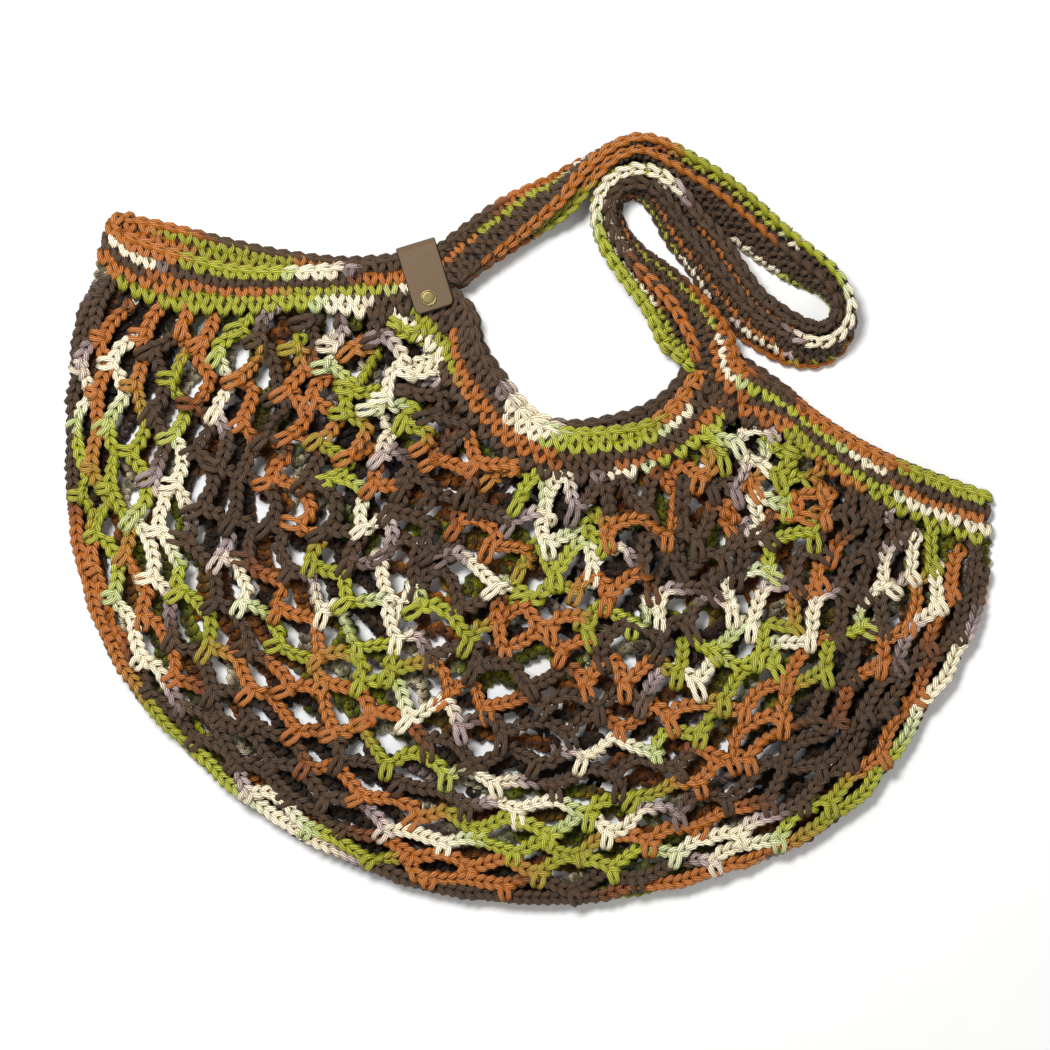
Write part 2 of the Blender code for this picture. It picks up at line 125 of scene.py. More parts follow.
# The front net's rows from the outermost: the arch at which a brown run is in the middle, and the arches
# that the yarn's repeat takes. Each row is worked the other way, so every second one runs back.
FRONT_NET_YARN = (
    (11.2, 10.5), (13.5, -7.0), (7.5, 9.8), (7.0, -9.5), (6.3, 9.2), (8.8, -8.3), (5.0, 8.0), (10.2, -7.8),
    (10.4, 7.6), (11.8, -7.8), (9.1, 8.0), (12.0, -8.2), (7.2, 7.7), (13.2, -7.4), (4.5, 7.6), (6.8, -7.0),
    (3.0, 7.2),
)
BACK_NET_REPEAT = 8.0  # arches; where its rows' runs lie is hidden

# How unevenly the net lies: the usual scatter along a row, and the others as shares of it
OUTER_UNEVEN = 0.5  # in the outermost row
NET_UNEVEN = 1.5  # in the next rows
MORE_UNEVEN = 1.8  # added to that at the rim
OUTWARD_UNEVEN = 0.7
PEAK_HEIGHT_UNEVEN = 0.5
KNOT_HEIGHT_UNEVEN = 0.4
BEND_UNEVEN = (0.65, 0.65, 0.39)
# How far its chains and stitches turn, in radians, and the range of a stitch's length and width
CHAIN_TURN = 0.6
CHAIN_TURN_STEPS = 8  # points of the smoothed chain from one turn to the next
LEGS_TURN = 0.35
LEGS_LENGTH = (0.8, 1.0)
LEGS_WIDTH = (0.7, 1.1)

# Levels of the middle of each layer's thickness
FRONT_RIM_LEVEL = 14.5
BACK_RIM_LEVEL = 2.0
RIM_CORNER_LEVELS = [6.3, 11.0]  # of the front rim where it is closed and half open
FRONT_NET_LEVEL = 14.0
BACK_NET_LEVEL = 3.3
FOLD_LEVEL = {FRONT: 9.8, BACK: 5.6}  # at the bag's outer curve

HANDLE_WIDTH = 19.5
HANDLE_THICKNESS = 3.6
HANDLE_CLEARANCE = 0.3  # over what it rests on

# Fold-over tag and its rivet
TAG_WIDTH = 18.2
TAG_FRONT_LENGTH = 31.0
TAG_BACK_LENGTH = 22.0
TAG_THICKNESS = 1.2
TAG_CORNER_RADIUS = 3.0
TAG_TURN = math.radians(17)
TAG_TOP_MIDDLE = (-49.4, 125.9)  # middle of its fold
TAG_FOLD_LEVEL = 14.75
TAG_FOLD_STEPS = 13
TAG_BEND = 3.15  # from the middle of the fold to the middle of each flap
TAG_STEPS = (0.0, 0.12, 0.3, 0.6, 1.0, 1.5, 2.2, 3.0, 6.0, 12.0)  # distances from a flap's end
TAG_END_THICKNESS = ((0.0, 0.12, 0.3, 0.6), (0.35, 0.7, 0.9, 1.0))  # share of it at distances from the end
TAG_SIDE = ((0.0, 0.0), (0.08, 0.3), (0.25, 0.5), (0.6, 0.6), (1.1, 0.62))  # inset and height of its side
BURNISHED_INSET = 0.3  # from its sides
BURNISHED_STATIONS = 3  # at each end
RIVET_FROM_FOLD = 25.0
RIVET_TO_SIDE = 1.4  # to the left of the tag's middle line
RIVET_STEPS = 64
RIVET_FACE = 2.8  # radius of the cap's dull face, inside its ring with a painted highlight
# Radius and height of the rivet's cap over the front flap, then of its post and back
RIVET_CAP = (
    (0.0, 0.84), (1.4, 0.84), (2.3, 0.83), (2.75, 0.8), (2.95, 0.95), (3.1, 1.2), (3.3, 1.3),
    (3.48, 1.15), (3.6, 0.75), (3.6, 0.05), (1.4, 0.0),
)
RIVET_BACK = ((1.4, 0.0), (3.0, 0.0), (3.0, -0.45), (2.1, -0.9), (0.0, -0.9))

# Outer curve of the bag, from the left corner round the bottom to the right corner: x, y
OUTER_CURVE = (
    (-204, 94), (-209, 58), (-210, 20), (-202, -29), (-185, -69), (-160, -99), (-118, -135), (-66, -161),
    (-20, -172), (36, -172), (101, -157), (150, -129), (184, -84), (203, -53), (211, -24),
)

# Front rim from the left corner to the right one: its edge at the mouth x, y, its edge at the net x, y,
# and how far the back rim peeks out
RIM_SECTIONS = (
    (-187, 136, -192, 120, 2.5), (-175, 129, -180, 106, 9.0), (-155, 122, -159, 98, 11.5),
    (-132, 116, -136, 95, 11.5), (-106, 115, -107, 97, 7.5), (-81, 117, -82, 95, 3.0),
    (-57, 121, -62, 92, 0.5), (-40, 127, -54, 89, 0.0), (-28, 121, -47, 85, 0.0),
    (-22, 112, -42, 80, 0.0), (-24, 97, -40, 74, 1.0), (-21, 81, -37, 65, 2.0), (-11, 65, -28, 50, 2.5),
    (2, 49, -12, 33, 3.0), (18, 43, 12, 21, 3.5), (36, 43, 37, 20, 5.0), (54, 46, 58, 25, 7.0),
    (66, 55, 76, 35, 5.5), (75, 67, 86, 43, 5.0), (88, 76, 95, 46, 3.0), (104, 73, 104, 46, 2.0),
    (117, 61, 112, 44, 1.0), (129, 51, 121, 37, 0.5), (147, 39, 136, 24, 0.5), (169, 28, 160, 10, 0.5),
    (190, 20, 183, -1, 0.5), (208, 14, 209, -9, 0.0),
)
INNER_LEVELS = [FRONT_RIM_LEVEL] * (len(RIM_SECTIONS) - 2 * len(RIM_CORNER_LEVELS))
RIM_ROWS = np.column_stack((RIM_SECTIONS, RIM_CORNER_LEVELS + INNER_LEVELS + RIM_CORNER_LEVELS[::-1]))
LEFT_RIM_ROWS = slice(0, 7)  # rows of the table that the left stretch of rim takes
MIDDLE_RIM_ROWS = slice(10, 19)
RIGHT_RIM_ROWS = slice(21, 27)

# Where the outer ribbon leaves the handle for the right rim: outer edge x, y, inner edge x, y
RIGHT_TURN = {
    FRONT: ((97, 73, 81, 55), (106, 68, 93, 46)),
    BACK: ((108, 69, 97, 51),),
}
# Where the middle ribbon starts and ends under the outer one: outer edge x, y, inner edge x, y
MIDDLE_START = ((-46, 118, -60, 94), (-34, 108, -50, 86))
MIDDLE_LEAD = 19.0  # length of its start before the colour runs of its table begin
MIDDLE_END = (86, 76, 96, 50)
UNDERLAP = 2.2  # how far below the outer ribbon its ends lie on the front

# Way of the chained edge round the left corner, and the yarn's phase there
CORNER_BEND = ((-182.5, 131.5, 7.4), (-185.6, 134.2, 6.8), (-183.5, 137.4, 5.8))
CORNER_STATIONS = 5  # of the front and back edge that the bend takes
CORNER_PHASE = 0.1
CORNER_LEAN = 0.3  # of its links to the inside of the bend
CORNER_PITCH = 0.8  # share of the outer ribbon's stitch

# Front handle from its left end to its right end.
# x, y: top edge; roll: 0 flat, 90 on edge; nest: the back handle's edge to the right of it; lift
HANDLE_SECTIONS = (
    (-30, 107, 0, 0.0, 1.0), (-20, 115, 0, 0.0, 1.0), (-2, 129, 14, 2.0, 0.93), (16, 144, 45, 5.0, 0.6),
    (25, 156, 70, 5.4, 0.2), (35, 166, 88, 5.0, 0.0), (46, 172, 99, 5.2, 0.0), (55, 173, 107, 6.0, 0.0),
    (67, 169, 113, 7.0, 0.0), (88, 157, 121, 7.6, 0.0), (102, 146, 124, 7.5, 0.0),
    (116, 133, 121, 7.0, 0.0), (128, 123, 115, 6.8, 0.0), (138, 114, 104, 6.2, 0.0),
    (144, 104, 92, 5.8, 0.0), (145, 95, 85, 5.8, 0.0), (141, 87, 75, 6.6, 0.0), (133, 83, 60, 7.2, 0.0),
    (123, 85, 50, 7.0, 0.0), (112, 91, 47, 7.0, 0.0), (101, 99, 48, 7.4, 0.0), (92, 110, 52, 8.0, 0.0),
    (82, 123, 56, 9.0, 0.0), (73, 133, 60, 8.6, 0.0), (66, 144, 64, 7.6, 0.0), (59, 151, 69, 6.8, 0.0),
    (51, 154, 74, 6.2, 0.0), (43, 152, 77, 5.6, 0.0), (38, 146, 78, 5.6, 0.0), (37, 138, 75, 6.0, 0.0),
    (40, 128, 71, 6.4, 0.0), (48, 116, 62, 7.2, 0.04), (57, 107, 54, 9.0, 0.18), (64, 99, 46, 10.5, 0.4),
    (69, 91, 34, 11.5, 0.67), (74, 81, 16, 12.0, 0.93), (76, 71, 0, 12.0, 1.0), (79, 56, 0, 12.0, 1.0),
)

# Centre line of a chain link: along the chain in pitches, across in half widths, height.
# It comes up narrow inside the link before, opens as a V, and closes deep under the next one.
LINK = (
    (-0.52, 0.00, -0.90), (-0.32, -0.20, -0.10), (0.02, -0.62, 0.75), (0.38, -1.02, 0.80),
    (0.70, -1.00, -0.10), (0.86, 0.00, -1.15), (0.70, 1.00, -0.10), (0.38, 1.02, 0.80),
    (0.02, 0.62, 0.75), (-0.32, 0.20, -0.10),
)
NET_LINK = (2.1, 1.8, 1.5)  # half width and height of the net's links, and radius of their yarn
EDGE_LINK = (1.8, 1.3, 1.4)  # the same of the chained edges' links
LINK_PITCH = 4.3  # in the net
LINK_SIGHT = 0.4  # share of a link, either way, over which its direction is taken
CORE_DEPTH = 0.6  # of the strand behind the links, below their middle

# Centre line of the two legs that a stitch of the net puts over an arch, in millimetres from the knot
LEGS = (
    (-1.6, 0.0, -0.8), (0.2, -1.3, 0.6), (2.6, -1.9, 1.7), (5.4, -2.1, 2.0), (7.8, -1.9, 1.2),
    (9.3, -1.4, -0.4), (9.0, -0.7, -2.2), (9.0, 0.7, -2.2), (9.3, 1.4, -0.4), (7.8, 1.9, 1.2),
    (5.4, 2.1, 2.0), (2.6, 1.9, 1.7), (0.2, 1.3, 0.6),
)

# Centre line of a single crochet on a ribbon: up its row in row heights, across in stitches, height.
# Two legs rise from a deep tip to a bar across the top.
STITCH = (
    (-0.90, 0.09, -1.2), (-0.62, -0.01, 0.0), (-0.26, -0.15, 0.95), (0.14, -0.29, 1.1),
    (0.46, -0.37, 0.4), (0.50, -0.14, -0.6), (0.46, 0.12, -0.5), (0.36, 0.31, 0.2), (0.06, 0.29, 0.8),
    (-0.26, 0.22, 0.8), (-0.60, 0.14, 0.0),
)
STITCH_UNEVEN = 0.3  # by which stitches lie off their places
STITCH_SLANT = 0.6  # by which one side of a stitch usually lies higher up its row
STITCH_WIDTHS = (0.88, 1.08)  # range, as shares of the pitch
STITCH_RISE = 0.3  # of a stitch's middle over the ribbon's, as a share of its half thickness
STITCH_HEIGHT = 0.75  # share of the half thickness that its table's height is in
ROWS = 5
STATIONS = 4  # of a ribbon for each stitch
RIM_STITCH = 7.0
OUTER_STITCH = 6.7
RIM_HALF_THICKNESS = 1.9
RIM_LOWERED = 0.7  # from the level of the solids, so that the yarn stays under the tag
BACK_RIM_RAISED = 0.7  # so that its yarn lies on the floor
HANDLE_TAIL = {FRONT: 4, BACK: 10}  # smoothed points of the handle that the turn to the right rim takes
EDGE_INSET = 1.6  # of a chained edge from the ribbon's edge
EDGE_OUT = 0.2
EDGE_RAISED = 0.3
EDGE_UPWARD = 0.8  # share of the normal in the way that its links face, added to the way outward
EDGE_TAIL = 9  # stations by which the handle's inner chained edge ends before the ribbon's turn


# Colours of the ribbons' rows, each with the length at which it ends. From the inner edge to the outer:
# the chained edge, five rows and the other chained edge.
OUTER_RUNS = {
    FRONT: (
        (BROWN, 178, ORANGE, 283, GREEN, 378, CREAM, 428, BROWN, 573, ORANGE, 779),
        (
            ORANGE, 12, GREEN, 103, CREAM, 126, BROWN, 276, ORANGE, 284, GREEN, 345, CREAM, 353,
            BROWN, 545, CREAM, 567, BROWN, 665, ORANGE, 677, GREEN, 696, ORANGE, 722, GREEN, 779,
        ),
        (ORANGE, 40, GREEN, 105, CREAM, 128, BROWN, 652, ORANGE, 680, GREEN, 736, CREAM, 779),
        (
            BROWN, 27, ORANGE, 88, GREEN, 138, CREAM, 159, BROWN, 435, ORANGE, 520, BROWN, 622,
            ORANGE, 655, BROWN, 733, ORANGE, 779,
        ),
        (
            CREAM, 30, BROWN, 120, ORANGE, 182, GREEN, 233, CREAM, 252, BROWN, 428, CREAM, 456,
            BROWN, 534, ORANGE, 568, GREEN, 619, CREAM, 649, GREEN, 705, CREAM, 727, BROWN, 779,
        ),
        (
            ORANGE, 38, GREEN, 90, CREAM, 114, BROWN, 197, ORANGE, 245, BROWN, 398, ORANGE, 405,
            GREEN, 426, ORANGE, 436, BROWN, 470, CREAM, 495, GREEN, 530, ORANGE, 536, BROWN, 596,
            ORANGE, 650, BROWN, 677, ORANGE, 731, GREEN, 779,
        ),
        (
            ORANGE, 38, GREEN, 90, CREAM, 114, BROWN, 197, ORANGE, 245, BROWN, 395, ORANGE, 450,
            BROWN, 594, ORANGE, 650, BROWN, 677, ORANGE, 731, GREEN, 779,
        ),
    ),
    BACK: (
        (BROWN, 160, ORANGE, 195, GREEN, 228, ORANGE, 328, BROWN, 480, CREAM, 533, GREEN, 779),
        (BROWN, 480, CREAM, 490, GREEN, 620, CREAM, 640, BROWN, 779),
        (BROWN, 400, ORANGE, 466, BROWN, 486, CREAM, 492, GREEN, 540, CREAM, 580, GREEN, 779),
        (BROWN, 20, ORANGE, 75, BROWN, 556, ORANGE, 584, BROWN, 779),
        (ORANGE, 40, GREEN, 110, ORANGE, 150, BROWN, 779),
        (ORANGE, 22, GREEN, 86, ORANGE, 108, BROWN, 316, CREAM, 342, GREEN, 376, CREAM, 382, BROWN, 779),
        (ORANGE, 42, BROWN, 316, CREAM, 342, GREEN, 376, CREAM, 382, BROWN, 779),
    ),
}
MIDDLE_RUNS = {
    FRONT: (
        (BROWN, 173),
        (CREAM, 15, BROWN, 105, CREAM, 125, GREEN, 173),
        (GREEN, 28, ORANGE, 87, BROWN, 112, ORANGE, 134, BROWN, 146, ORANGE, 173),
        (BROWN, 8, ORANGE, 87, BROWN, 173),
        (BROWN, 55, CREAM, 76, GREEN, 135, CREAM, 153, BROWN, 173),
        (BROWN, 48, CREAM, 80, GREEN, 134, ORANGE, 173),
        (BROWN, 48, CREAM, 80, GREEN, 134, ORANGE, 173),
    ),
    BACK: (
        (BROWN, 173),
        (BROWN, 173),
        (BROWN, 60, ORANGE, 120, BROWN, 173),
        (BROWN, 173),
        (BROWN, 173),
        (BROWN, 46, CREAM, 78, BROWN, 173),
        (BROWN, 46, CREAM, 78, BROWN, 173),
    ),
}


def smooth_rows(rows, steps):
    """Table rows with further rows between them, on a smooth curve through every column."""
    rows = np.array(rows, float)
    padded = np.vstack((2 * rows[0] - rows[1], rows, 2 * rows[-1] - rows[-2]))
    found = []
    for before, start, end, after in zip(padded, padded[1:], padded[2:], padded[3:]):
        linear_part = end - before
        square_part = 2 * before - 5 * start + 4 * end - after
        cubic_part = 3 * start - before - 3 * end + after
        for t in np.arange(steps) / steps:
            found.append(0.5 * (2 * start + linear_part * t + square_part * t**2 + cubic_part * t**3))
    found.append(rows[-1])
    return np.array(found)


def lengths_along(points):
    """Length of a curve from its start to each of its points."""
    steps = np.linalg.norm(np.diff(points, axis=0), axis=1)
    return np.concatenate(([0.0], np.cumsum(steps)))


def points_at(points, along, wanted):
    """Points of a curve at the wanted lengths."""
    return np.stack([np.interp(wanted, along, column) for column in points.T], axis=1)


def unit(vectors):
    return vectors / np.maximum(np.linalg.norm(vectors, axis=-1, keepdims=True), 1e-9)


def left_of(ways):
    """Ways in the plan, turned left."""
    turned = np.zeros_like(ways)
    turned[..., 0] = -ways[..., 1]
    turned[..., 1] = ways[..., 0]
    return turned


def flat(edge, level):
    """Points of the plan at a level."""
    return np.column_stack((edge, np.full(len(edge), level)))


def add_object(name, data):
    found = bpy.data.objects.new(name, data)
    bpy.context.scene.collection.objects.link(found)
    return found


def add_piece(name, mesh, material):
    mesh.materials.append(material)
    mesh.shade_smooth()
    return add_object(name, mesh)


def set_attribute(mesh, name, values):
    attribute = mesh.attributes.new(name, "FLOAT", "POINT")
    attribute.data.foreach_set("value", values)


def tube_rings(centres, ups, sides, closed):
    """Directions from each centre to its ring of points."""
    if closed:
        ways = unit(np.roll(centres, -1, axis=1) - np.roll(centres, 1, axis=1))
    else:
        ways = unit(np.gradient(centres, axis=1))
    upward = unit(ups - (ups * ways).sum(-1, keepdims=True) * ways)
    sideways = np.cross(ways, upward)
    turns = 2 * math.pi * np.arange(sides) / sides
    return upward[:, :, None] * np.cos(turns)[:, None] + sideways[:, :, None] * np.sin(turns)[:, None]


def tube_uvs(centres, spans, sides):
    """UVs of the tubes' faces: millimetres along the yarn, and the share of the way round it."""
    steps = np.linalg.norm(np.roll(centres, -1, axis=1) - centres, axis=-1)[:, :spans]
    ends = np.cumsum(steps, axis=1)
    round_start = np.arange(sides)[:, None] / sides
    uv = np.zeros((len(centres), spans, sides, 4, 2))
    uv[..., 0:2, 0] = (ends - steps)[:, :, None, None]
    uv[..., 2:4, 0] = ends[:, :, None, None]
    uv[..., 0::3, 1] = round_start
    uv[..., 1:3, 1] = round_start + 1 / sides
    return uv.reshape(-1, 2)


def loop_openness(centres, rings, ups):
    """How open to the light each point is, which sets the painted shade in the yarn's colour."""
    ups = unit(np.broadcast_to(ups, (len(centres), 1, 3)))
    rise = ((centres - centres.mean(axis=1, keepdims=True)) * ups).sum(-1)
    rise = np.clip(rise / SHADE_DEPTH, -1, 1)[:, :, None]
    facing = (rings * ups[:, :, None]).sum(-1)
    openness = MIDDLE_OPENNESS + RISE_OPENNESS * rise + FACING_OPENNESS * facing
    return np.clip(openness, 0, 1).reshape(-1)


class Yarn:
    """Tubes of yarn, gathered into one mesh."""

    def __init__(self):
        self.points = []
        self.faces = []
        self.uvs = []
        self.phases = []
        self.openness = []
        self.count = 0

    def add(self, centres, radius, ups, phases, sides=5):
        """Closed loops round lines of centres. ups is each one's way out of the cloth."""
        rings = tube_rings(centres, ups, sides, closed=True)
        self.openness.append(loop_openness(centres, rings, ups))
        self.add_tubes(centres, radius, rings, phases, centres.shape[1])

    def add_strand(self, centres, radius, ups, phases, openness, sides=4):
        """One open strand with closed ends."""
        rings = tube_rings(centres[None], ups[None], sides, closed=False)
        self.openness.append(np.full(len(centres) * sides, openness))
        index = self.add_tubes(centres[None], radius, rings, phases[None], len(centres) - 1)
        for end in (index[0, 0, ::-1], index[0, -1]):
            self.faces.append(end[None])
            self.uvs.append(np.zeros((sides, 2)))

    def add_tubes(self, centres, radius, rings, phases, spans):
        """Points and side faces of tubes, whose points' numbers it returns."""
        points = centres[:, :, None] + rings * radius
        index = self.count + np.arange(points.size // 3).reshape(points.shape[:3])
        sides = points.shape[2]
        a = index[:, :spans]
        b = np.roll(index, -1, axis=1)[:, :spans]
        faces = np.stack((a, np.roll(a, -1, axis=2), np.roll(b, -1, axis=2), b), axis=-1)
        self.points.append(points.reshape(-1, 3))
        self.faces.append(faces.reshape(-1, 4))
        self.uvs.append(tube_uvs(centres, spans, sides))
        self.phases.append(np.repeat(np.broadcast_to(phases, centres.shape[:2]), sides))
        self.count += index.size
        return index

    def build(self, name, material):
        points = np.concatenate(self.points) * MM
        points[:, 2] = np.maximum(points[:, 2], FLATTENED * MM)
        faces = np.concatenate(self.faces)
        mesh = bpy.data.meshes.new(name)
        mesh.vertices.add(len(points))
        mesh.vertices.foreach_set("co", points.ravel())
        mesh.loops.add(faces.size)
        mesh.loops.foreach_set("vertex_index", faces.ravel())
        mesh.polygons.add(len(faces))
        mesh.polygons.foreach_set("loop_start", np.arange(0, faces.size, 4))
        mesh.update(calc_edges=True)
        layer = mesh.uv_layers.new(name="yarn")
        layer.data.foreach_set("uv", np.concatenate(self.uvs).ravel())
        set_attribute(mesh, "yarn_at", np.concatenate(self.phases))
        set_attribute(mesh, "openness", np.concatenate(self.openness))
        return add_piece(name, mesh, material)


def placed(shape, origins, forwards, sideways, ups):
    """A loop's centre line put at every origin. The three ways carry the loop's sizes."""
    shape = np.array(shape)
    return (
        origins[:, None]
        + shape[None, :, 0:1] * forwards[:, None]
        + shape[None, :, 1:2] * sideways[:, None]
        + shape[None, :, 2:3] * ups[:, None]
    )


def add_chain(yarn, path, ups, phases, pitch, half_width, height, radius):
    """A braid of links along a path. It returns the links' places, their ways up and their phases."""
    along = lengths_along(path)
    count = max(2, round(along[-1] / pitch))
    step = along[-1] / count
    places = (np.arange(count) + 0.5) * step
    origins = points_at(path, along, places)
    sight = LINK_SIGHT * step
    forwards = unit(points_at(path, along, places + sight) - points_at(path, along, places - sight))
    upward = points_at(ups, along, places)
    upward = unit(upward - (upward * forwards).sum(-1, keepdims=True) * forwards)
    sideways = np.cross(upward, forwards)
    centres = placed(LINK, origins, forwards * step, sideways * half_width, upward * height)
    start = np.interp(places - step / 2, along, phases)
    end = np.interp(places + step / 2, along, phases)
    share = np.linspace(0, 1, len(LINK))
    yarn.add(centres, radius, upward[:, None], start[:, None] * (1 - share) + end[:, None] * share)
    return origins, upward, (start + end) / 2


def rim_low_edge(side):
    """The net's edge at the rim, the rim's level there and its length, from the left corner to the right."""
    rows = smooth_rows(RIM_ROWS, CURVE_STEPS)
    upward = unit(rows[:, 0:2] - rows[:, 2:4])
    low = rows[:, 2:4] + (upward * rows[:, 4:5] if side == BACK else 0.0)
    return low - upward * RIM_TO_NET, rows[:, 5], lengths_along(low)


class NetPatch:
    """Plan of one side's net. Rows follow the outer curve and end at the rim's left and right stretches.

    half is a half column of its lattice, and v the depth, from 0 at the outer curve to 1 at the rim.
    """

    def __init__(self, side):
        self.side = side
        self.up = np.array((0.0, 0.0, float(side)))
        self.low, self.level, self.low_along = rim_low_edge(side)
        outer = smooth_rows(np.vstack((self.low[:1], OUTER_CURVE, self.low[-1:])), CURVE_STEPS)
        along = lengths_along(outer)
        inset = np.minimum(OUTER_INSET, 0.5 * np.minimum(along, along[::-1]))
        self.outer = outer + left_of(unit(np.gradient(outer, axis=0))) * inset[:, None]
        self.outer_along = lengths_along(self.outer)

    def on_outer(self, share):
        return points_at(self.outer, self.outer_along, [share * self.outer_along[-1]])[0]

    def on_rim(self, share):
        return points_at(self.low, self.low_along, [share * self.low_along[-1]])[0]

    def rim_level(self, share):
        return float(np.interp(share * self.low_along[-1], self.low_along, self.level))

    def ends(self, v):
        """First and last half column of the lattice at a depth."""
        return LAST_LEFT_COLUMN * v, HALF_COLUMNS - (HALF_COLUMNS - LAST_RIGHT_COLUMN) * v

    def row_ends(self, v):
        """Shares of the rim's length at which a row ends."""
        return RIM_LEFT_SHARE * v, 1 - (1 - RIM_RIGHT_SHARE) * v

    def across(self, half, v):
        """Share of the way from the left end of a row to the right one."""
        first, last = self.ends(v)
        return min(max((half - first) / (last - first), 0.0), 1.0)

    def plan(self, half, v):
        """Coons patch between the outer curve, the rim's two side stretches and its middle one."""
        u = self.across(half + GATHER_SHIFT * v**2 * math.sin(math.pi * half / 2), v)
        left, right = (self.on_rim(share) for share in self.row_ends(v))
        middle = self.on_rim(RIM_LEFT_SHARE + (RIM_RIGHT_SHARE - RIM_LEFT_SHARE) * u)
        corners = (
            self.on_rim(0.0) * (1 - u) * (1 - v)
            + self.on_rim(1.0) * u * (1 - v)
            + self.on_rim(RIM_LEFT_SHARE) * (1 - u) * v
            + self.on_rim(RIM_RIGHT_SHARE) * u * v
        )
        return self.on_outer(u) * (1 - v) + middle * v + left * (1 - u) + right * u - corners

    def height(self, half, v):
        """Level of the net. The front rises from the outer fold and the rim's ends, and the back falls."""
        depth = v * DEPTH
        if self.side == BACK:
            return max(BACK_NET_LEVEL, FOLD_LEVEL[BACK] - BACK_FALL * depth)
        rise = FRONT_NET_LEVEL - FOLD_LEVEL[FRONT]
        z = FRONT_NET_LEVEL - rise * math.exp(-depth / FRONT_RISE_LENGTH)
        first, last = self.ends(v)
        left, right = (self.rim_level(share) for share in self.row_ends(v))
        left += RISE_FROM_RIM * max(half - first, 0)
        right += RISE_FROM_RIM * max(last - half, 0)
        return min(z, left, right) + GATHER_HEIGHT * v**2 * math.cos(math.pi * half / 2)

    def crowding(self, half, v, v_before):
        """Share of its usual length that a stitch has where the rows lie close."""
        pitch = np.linalg.norm(self.plan(half, v) - self.plan(half, v_before))
        return min(max(pitch / USUAL_ROW_PITCH, LEAST_CROWDED_LENGTH), 1.0)

    def point(self, half, v, lift):
        """Point of the net, lifted out of the cloth, and the way outward there."""
        v = min(max(v, 0.0), 1.0)
        place = self.plan(half, v)
        outward = unit(self.plan(half, max(v - WAY_STEP, 0.0)) - self.plan(half, min(v + WAY_STEP, 1.0)))
        z = self.height(half, v) + lift * self.side
        return np.array((*place, z)), np.array((*outward, 0.0))


def row_depth(side, row):
    """Share of the way from the outer curve to the rim at which a row's stitches lie."""
    if side == BACK:
        row = max(row - BACK_ROW_SHIFT, 0)
    t = min(row / NET_ROWS, 1.0)
    return ROW_DEPTH * t + (1 - ROW_DEPTH) * t**2


def stitch_columns(patch, row):
    """Half columns of a row's stitches. The back net's lie behind the front net's gaps."""
    first, last = patch.ends(row_depth(patch.side, row))
    odd = (row + (patch.side == BACK)) % 2
    columns = range(odd, HALF_COLUMNS + 1, 2)
    return [half for half in columns if first + END_MARGIN < half < last - END_MARGIN]


def scattered(place, outward, uneven, height_share, rng):
    """The place, moved at random outward, along its row and in height."""
    place = place + outward * rng.normal() * OUTWARD_UNEVEN * uneven
    place = place + left_of(outward) * rng.normal() * uneven
    place[2] += rng.normal() * height_share * uneven
    return place


def peak_ends(patch, peak, v, v_next, uneven, rng):
    """Both ends of the chain across an arch's peak, which the next row's stitch holds."""
    place, outward = patch.point(peak, v_next, PEAK_LIFT)
    reach = PEAK_TO_KNOT * patch.crowding(peak, v_next, v) if v_next < 1 else 0.0
    place = scattered(place + outward * reach, outward, uneven, PEAK_HEIGHT_UNEVEN, rng)
    along = left_of(outward) * PEAK_HALF_LENGTH
    return [place - along, place + along]


def add_row(halves, patch, row, brown_at, repeat, rng):
    """A row of the net: its zigzag chain, and the legs that hold it to the row outside it."""
    v, v_next = row_depth(patch.side, row), row_depth(patch.side, row + 1)
    uneven = OUTER_UNEVEN if row == 0 else NET_UNEVEN + MORE_UNEVEN * v
    flattened = OUTER_FLATTENED if row == 0 else 0.0
    columns = stitch_columns(patch, row)
    path = peak_ends(patch, columns[0] - 1, v, v_next, uneven, rng)
    at = [-0.5 - PEAK_YARN, -0.5 + PEAK_YARN]
    for i, half in enumerate(columns):
        place, outward = patch.point(half, v, KNOT_LIFT)
        place = scattered(place - outward * flattened, outward, uneven, KNOT_HEIGHT_UNEVEN, rng)
        if row > 0:
            yarn = halves[int(place[0] > 0)]
            crowding = patch.crowding(half, v, row_depth(patch.side, row - 1))
            add_legs(yarn, place, outward, patch.up, net_phase(i, brown_at, repeat), crowding, rng)
        path += [place, *peak_ends(patch, half + 1, v, v_next, uneven, rng)]
        at += [i, i + 0.5 - PEAK_YARN, i + 0.5 + PEAK_YARN]
    path, at = with_bends(np.array(path), np.array(at), np.array(BEND_UNEVEN) * uneven, rng)
    add_net_chain(halves, path, net_phase(at, brown_at, repeat), patch.up, rng)


def net_phase(at, brown_at, repeat):
    """The yarn's phase at an arch of a row."""
    return sum(BANDS[BROWN]) / 2 + (at - brown_at) / repeat


def with_bends(path, at, spread, rng):
    """The path with a bend in the middle of each arm, which are the longer spans."""
    points, places = [path[0]], [at[0]]
    for before, after, start, end in zip(path, path[1:], at, at[1:]):
        if np.linalg.norm(after - before) > LONG_SPAN:
            points.append((before + after) / 2 + rng.normal(size=3) * spread)
            places.append((start + end) / 2)
        points.append(after)
        places.append(end)
    return np.array(points), np.array(places)


def add_legs(yarn, place, outward, up, phase, crowding, rng):
    """The two legs of a stitch, from its knot outward over an arch."""
    turn = rng.normal() * LEGS_TURN
    forward = outward * math.cos(turn) + np.cross(up, outward) * math.sin(turn)
    sideways = np.cross(up, forward)
    length = crowding * rng.uniform(*LEGS_LENGTH)
    width = rng.uniform(*LEGS_WIDTH)
    centres = placed(LEGS, place[None], (forward * length)[None], (sideways * width)[None], up[None])
    yarn.add(centres, LEG_YARN, up[None, None], phase, sides=6)


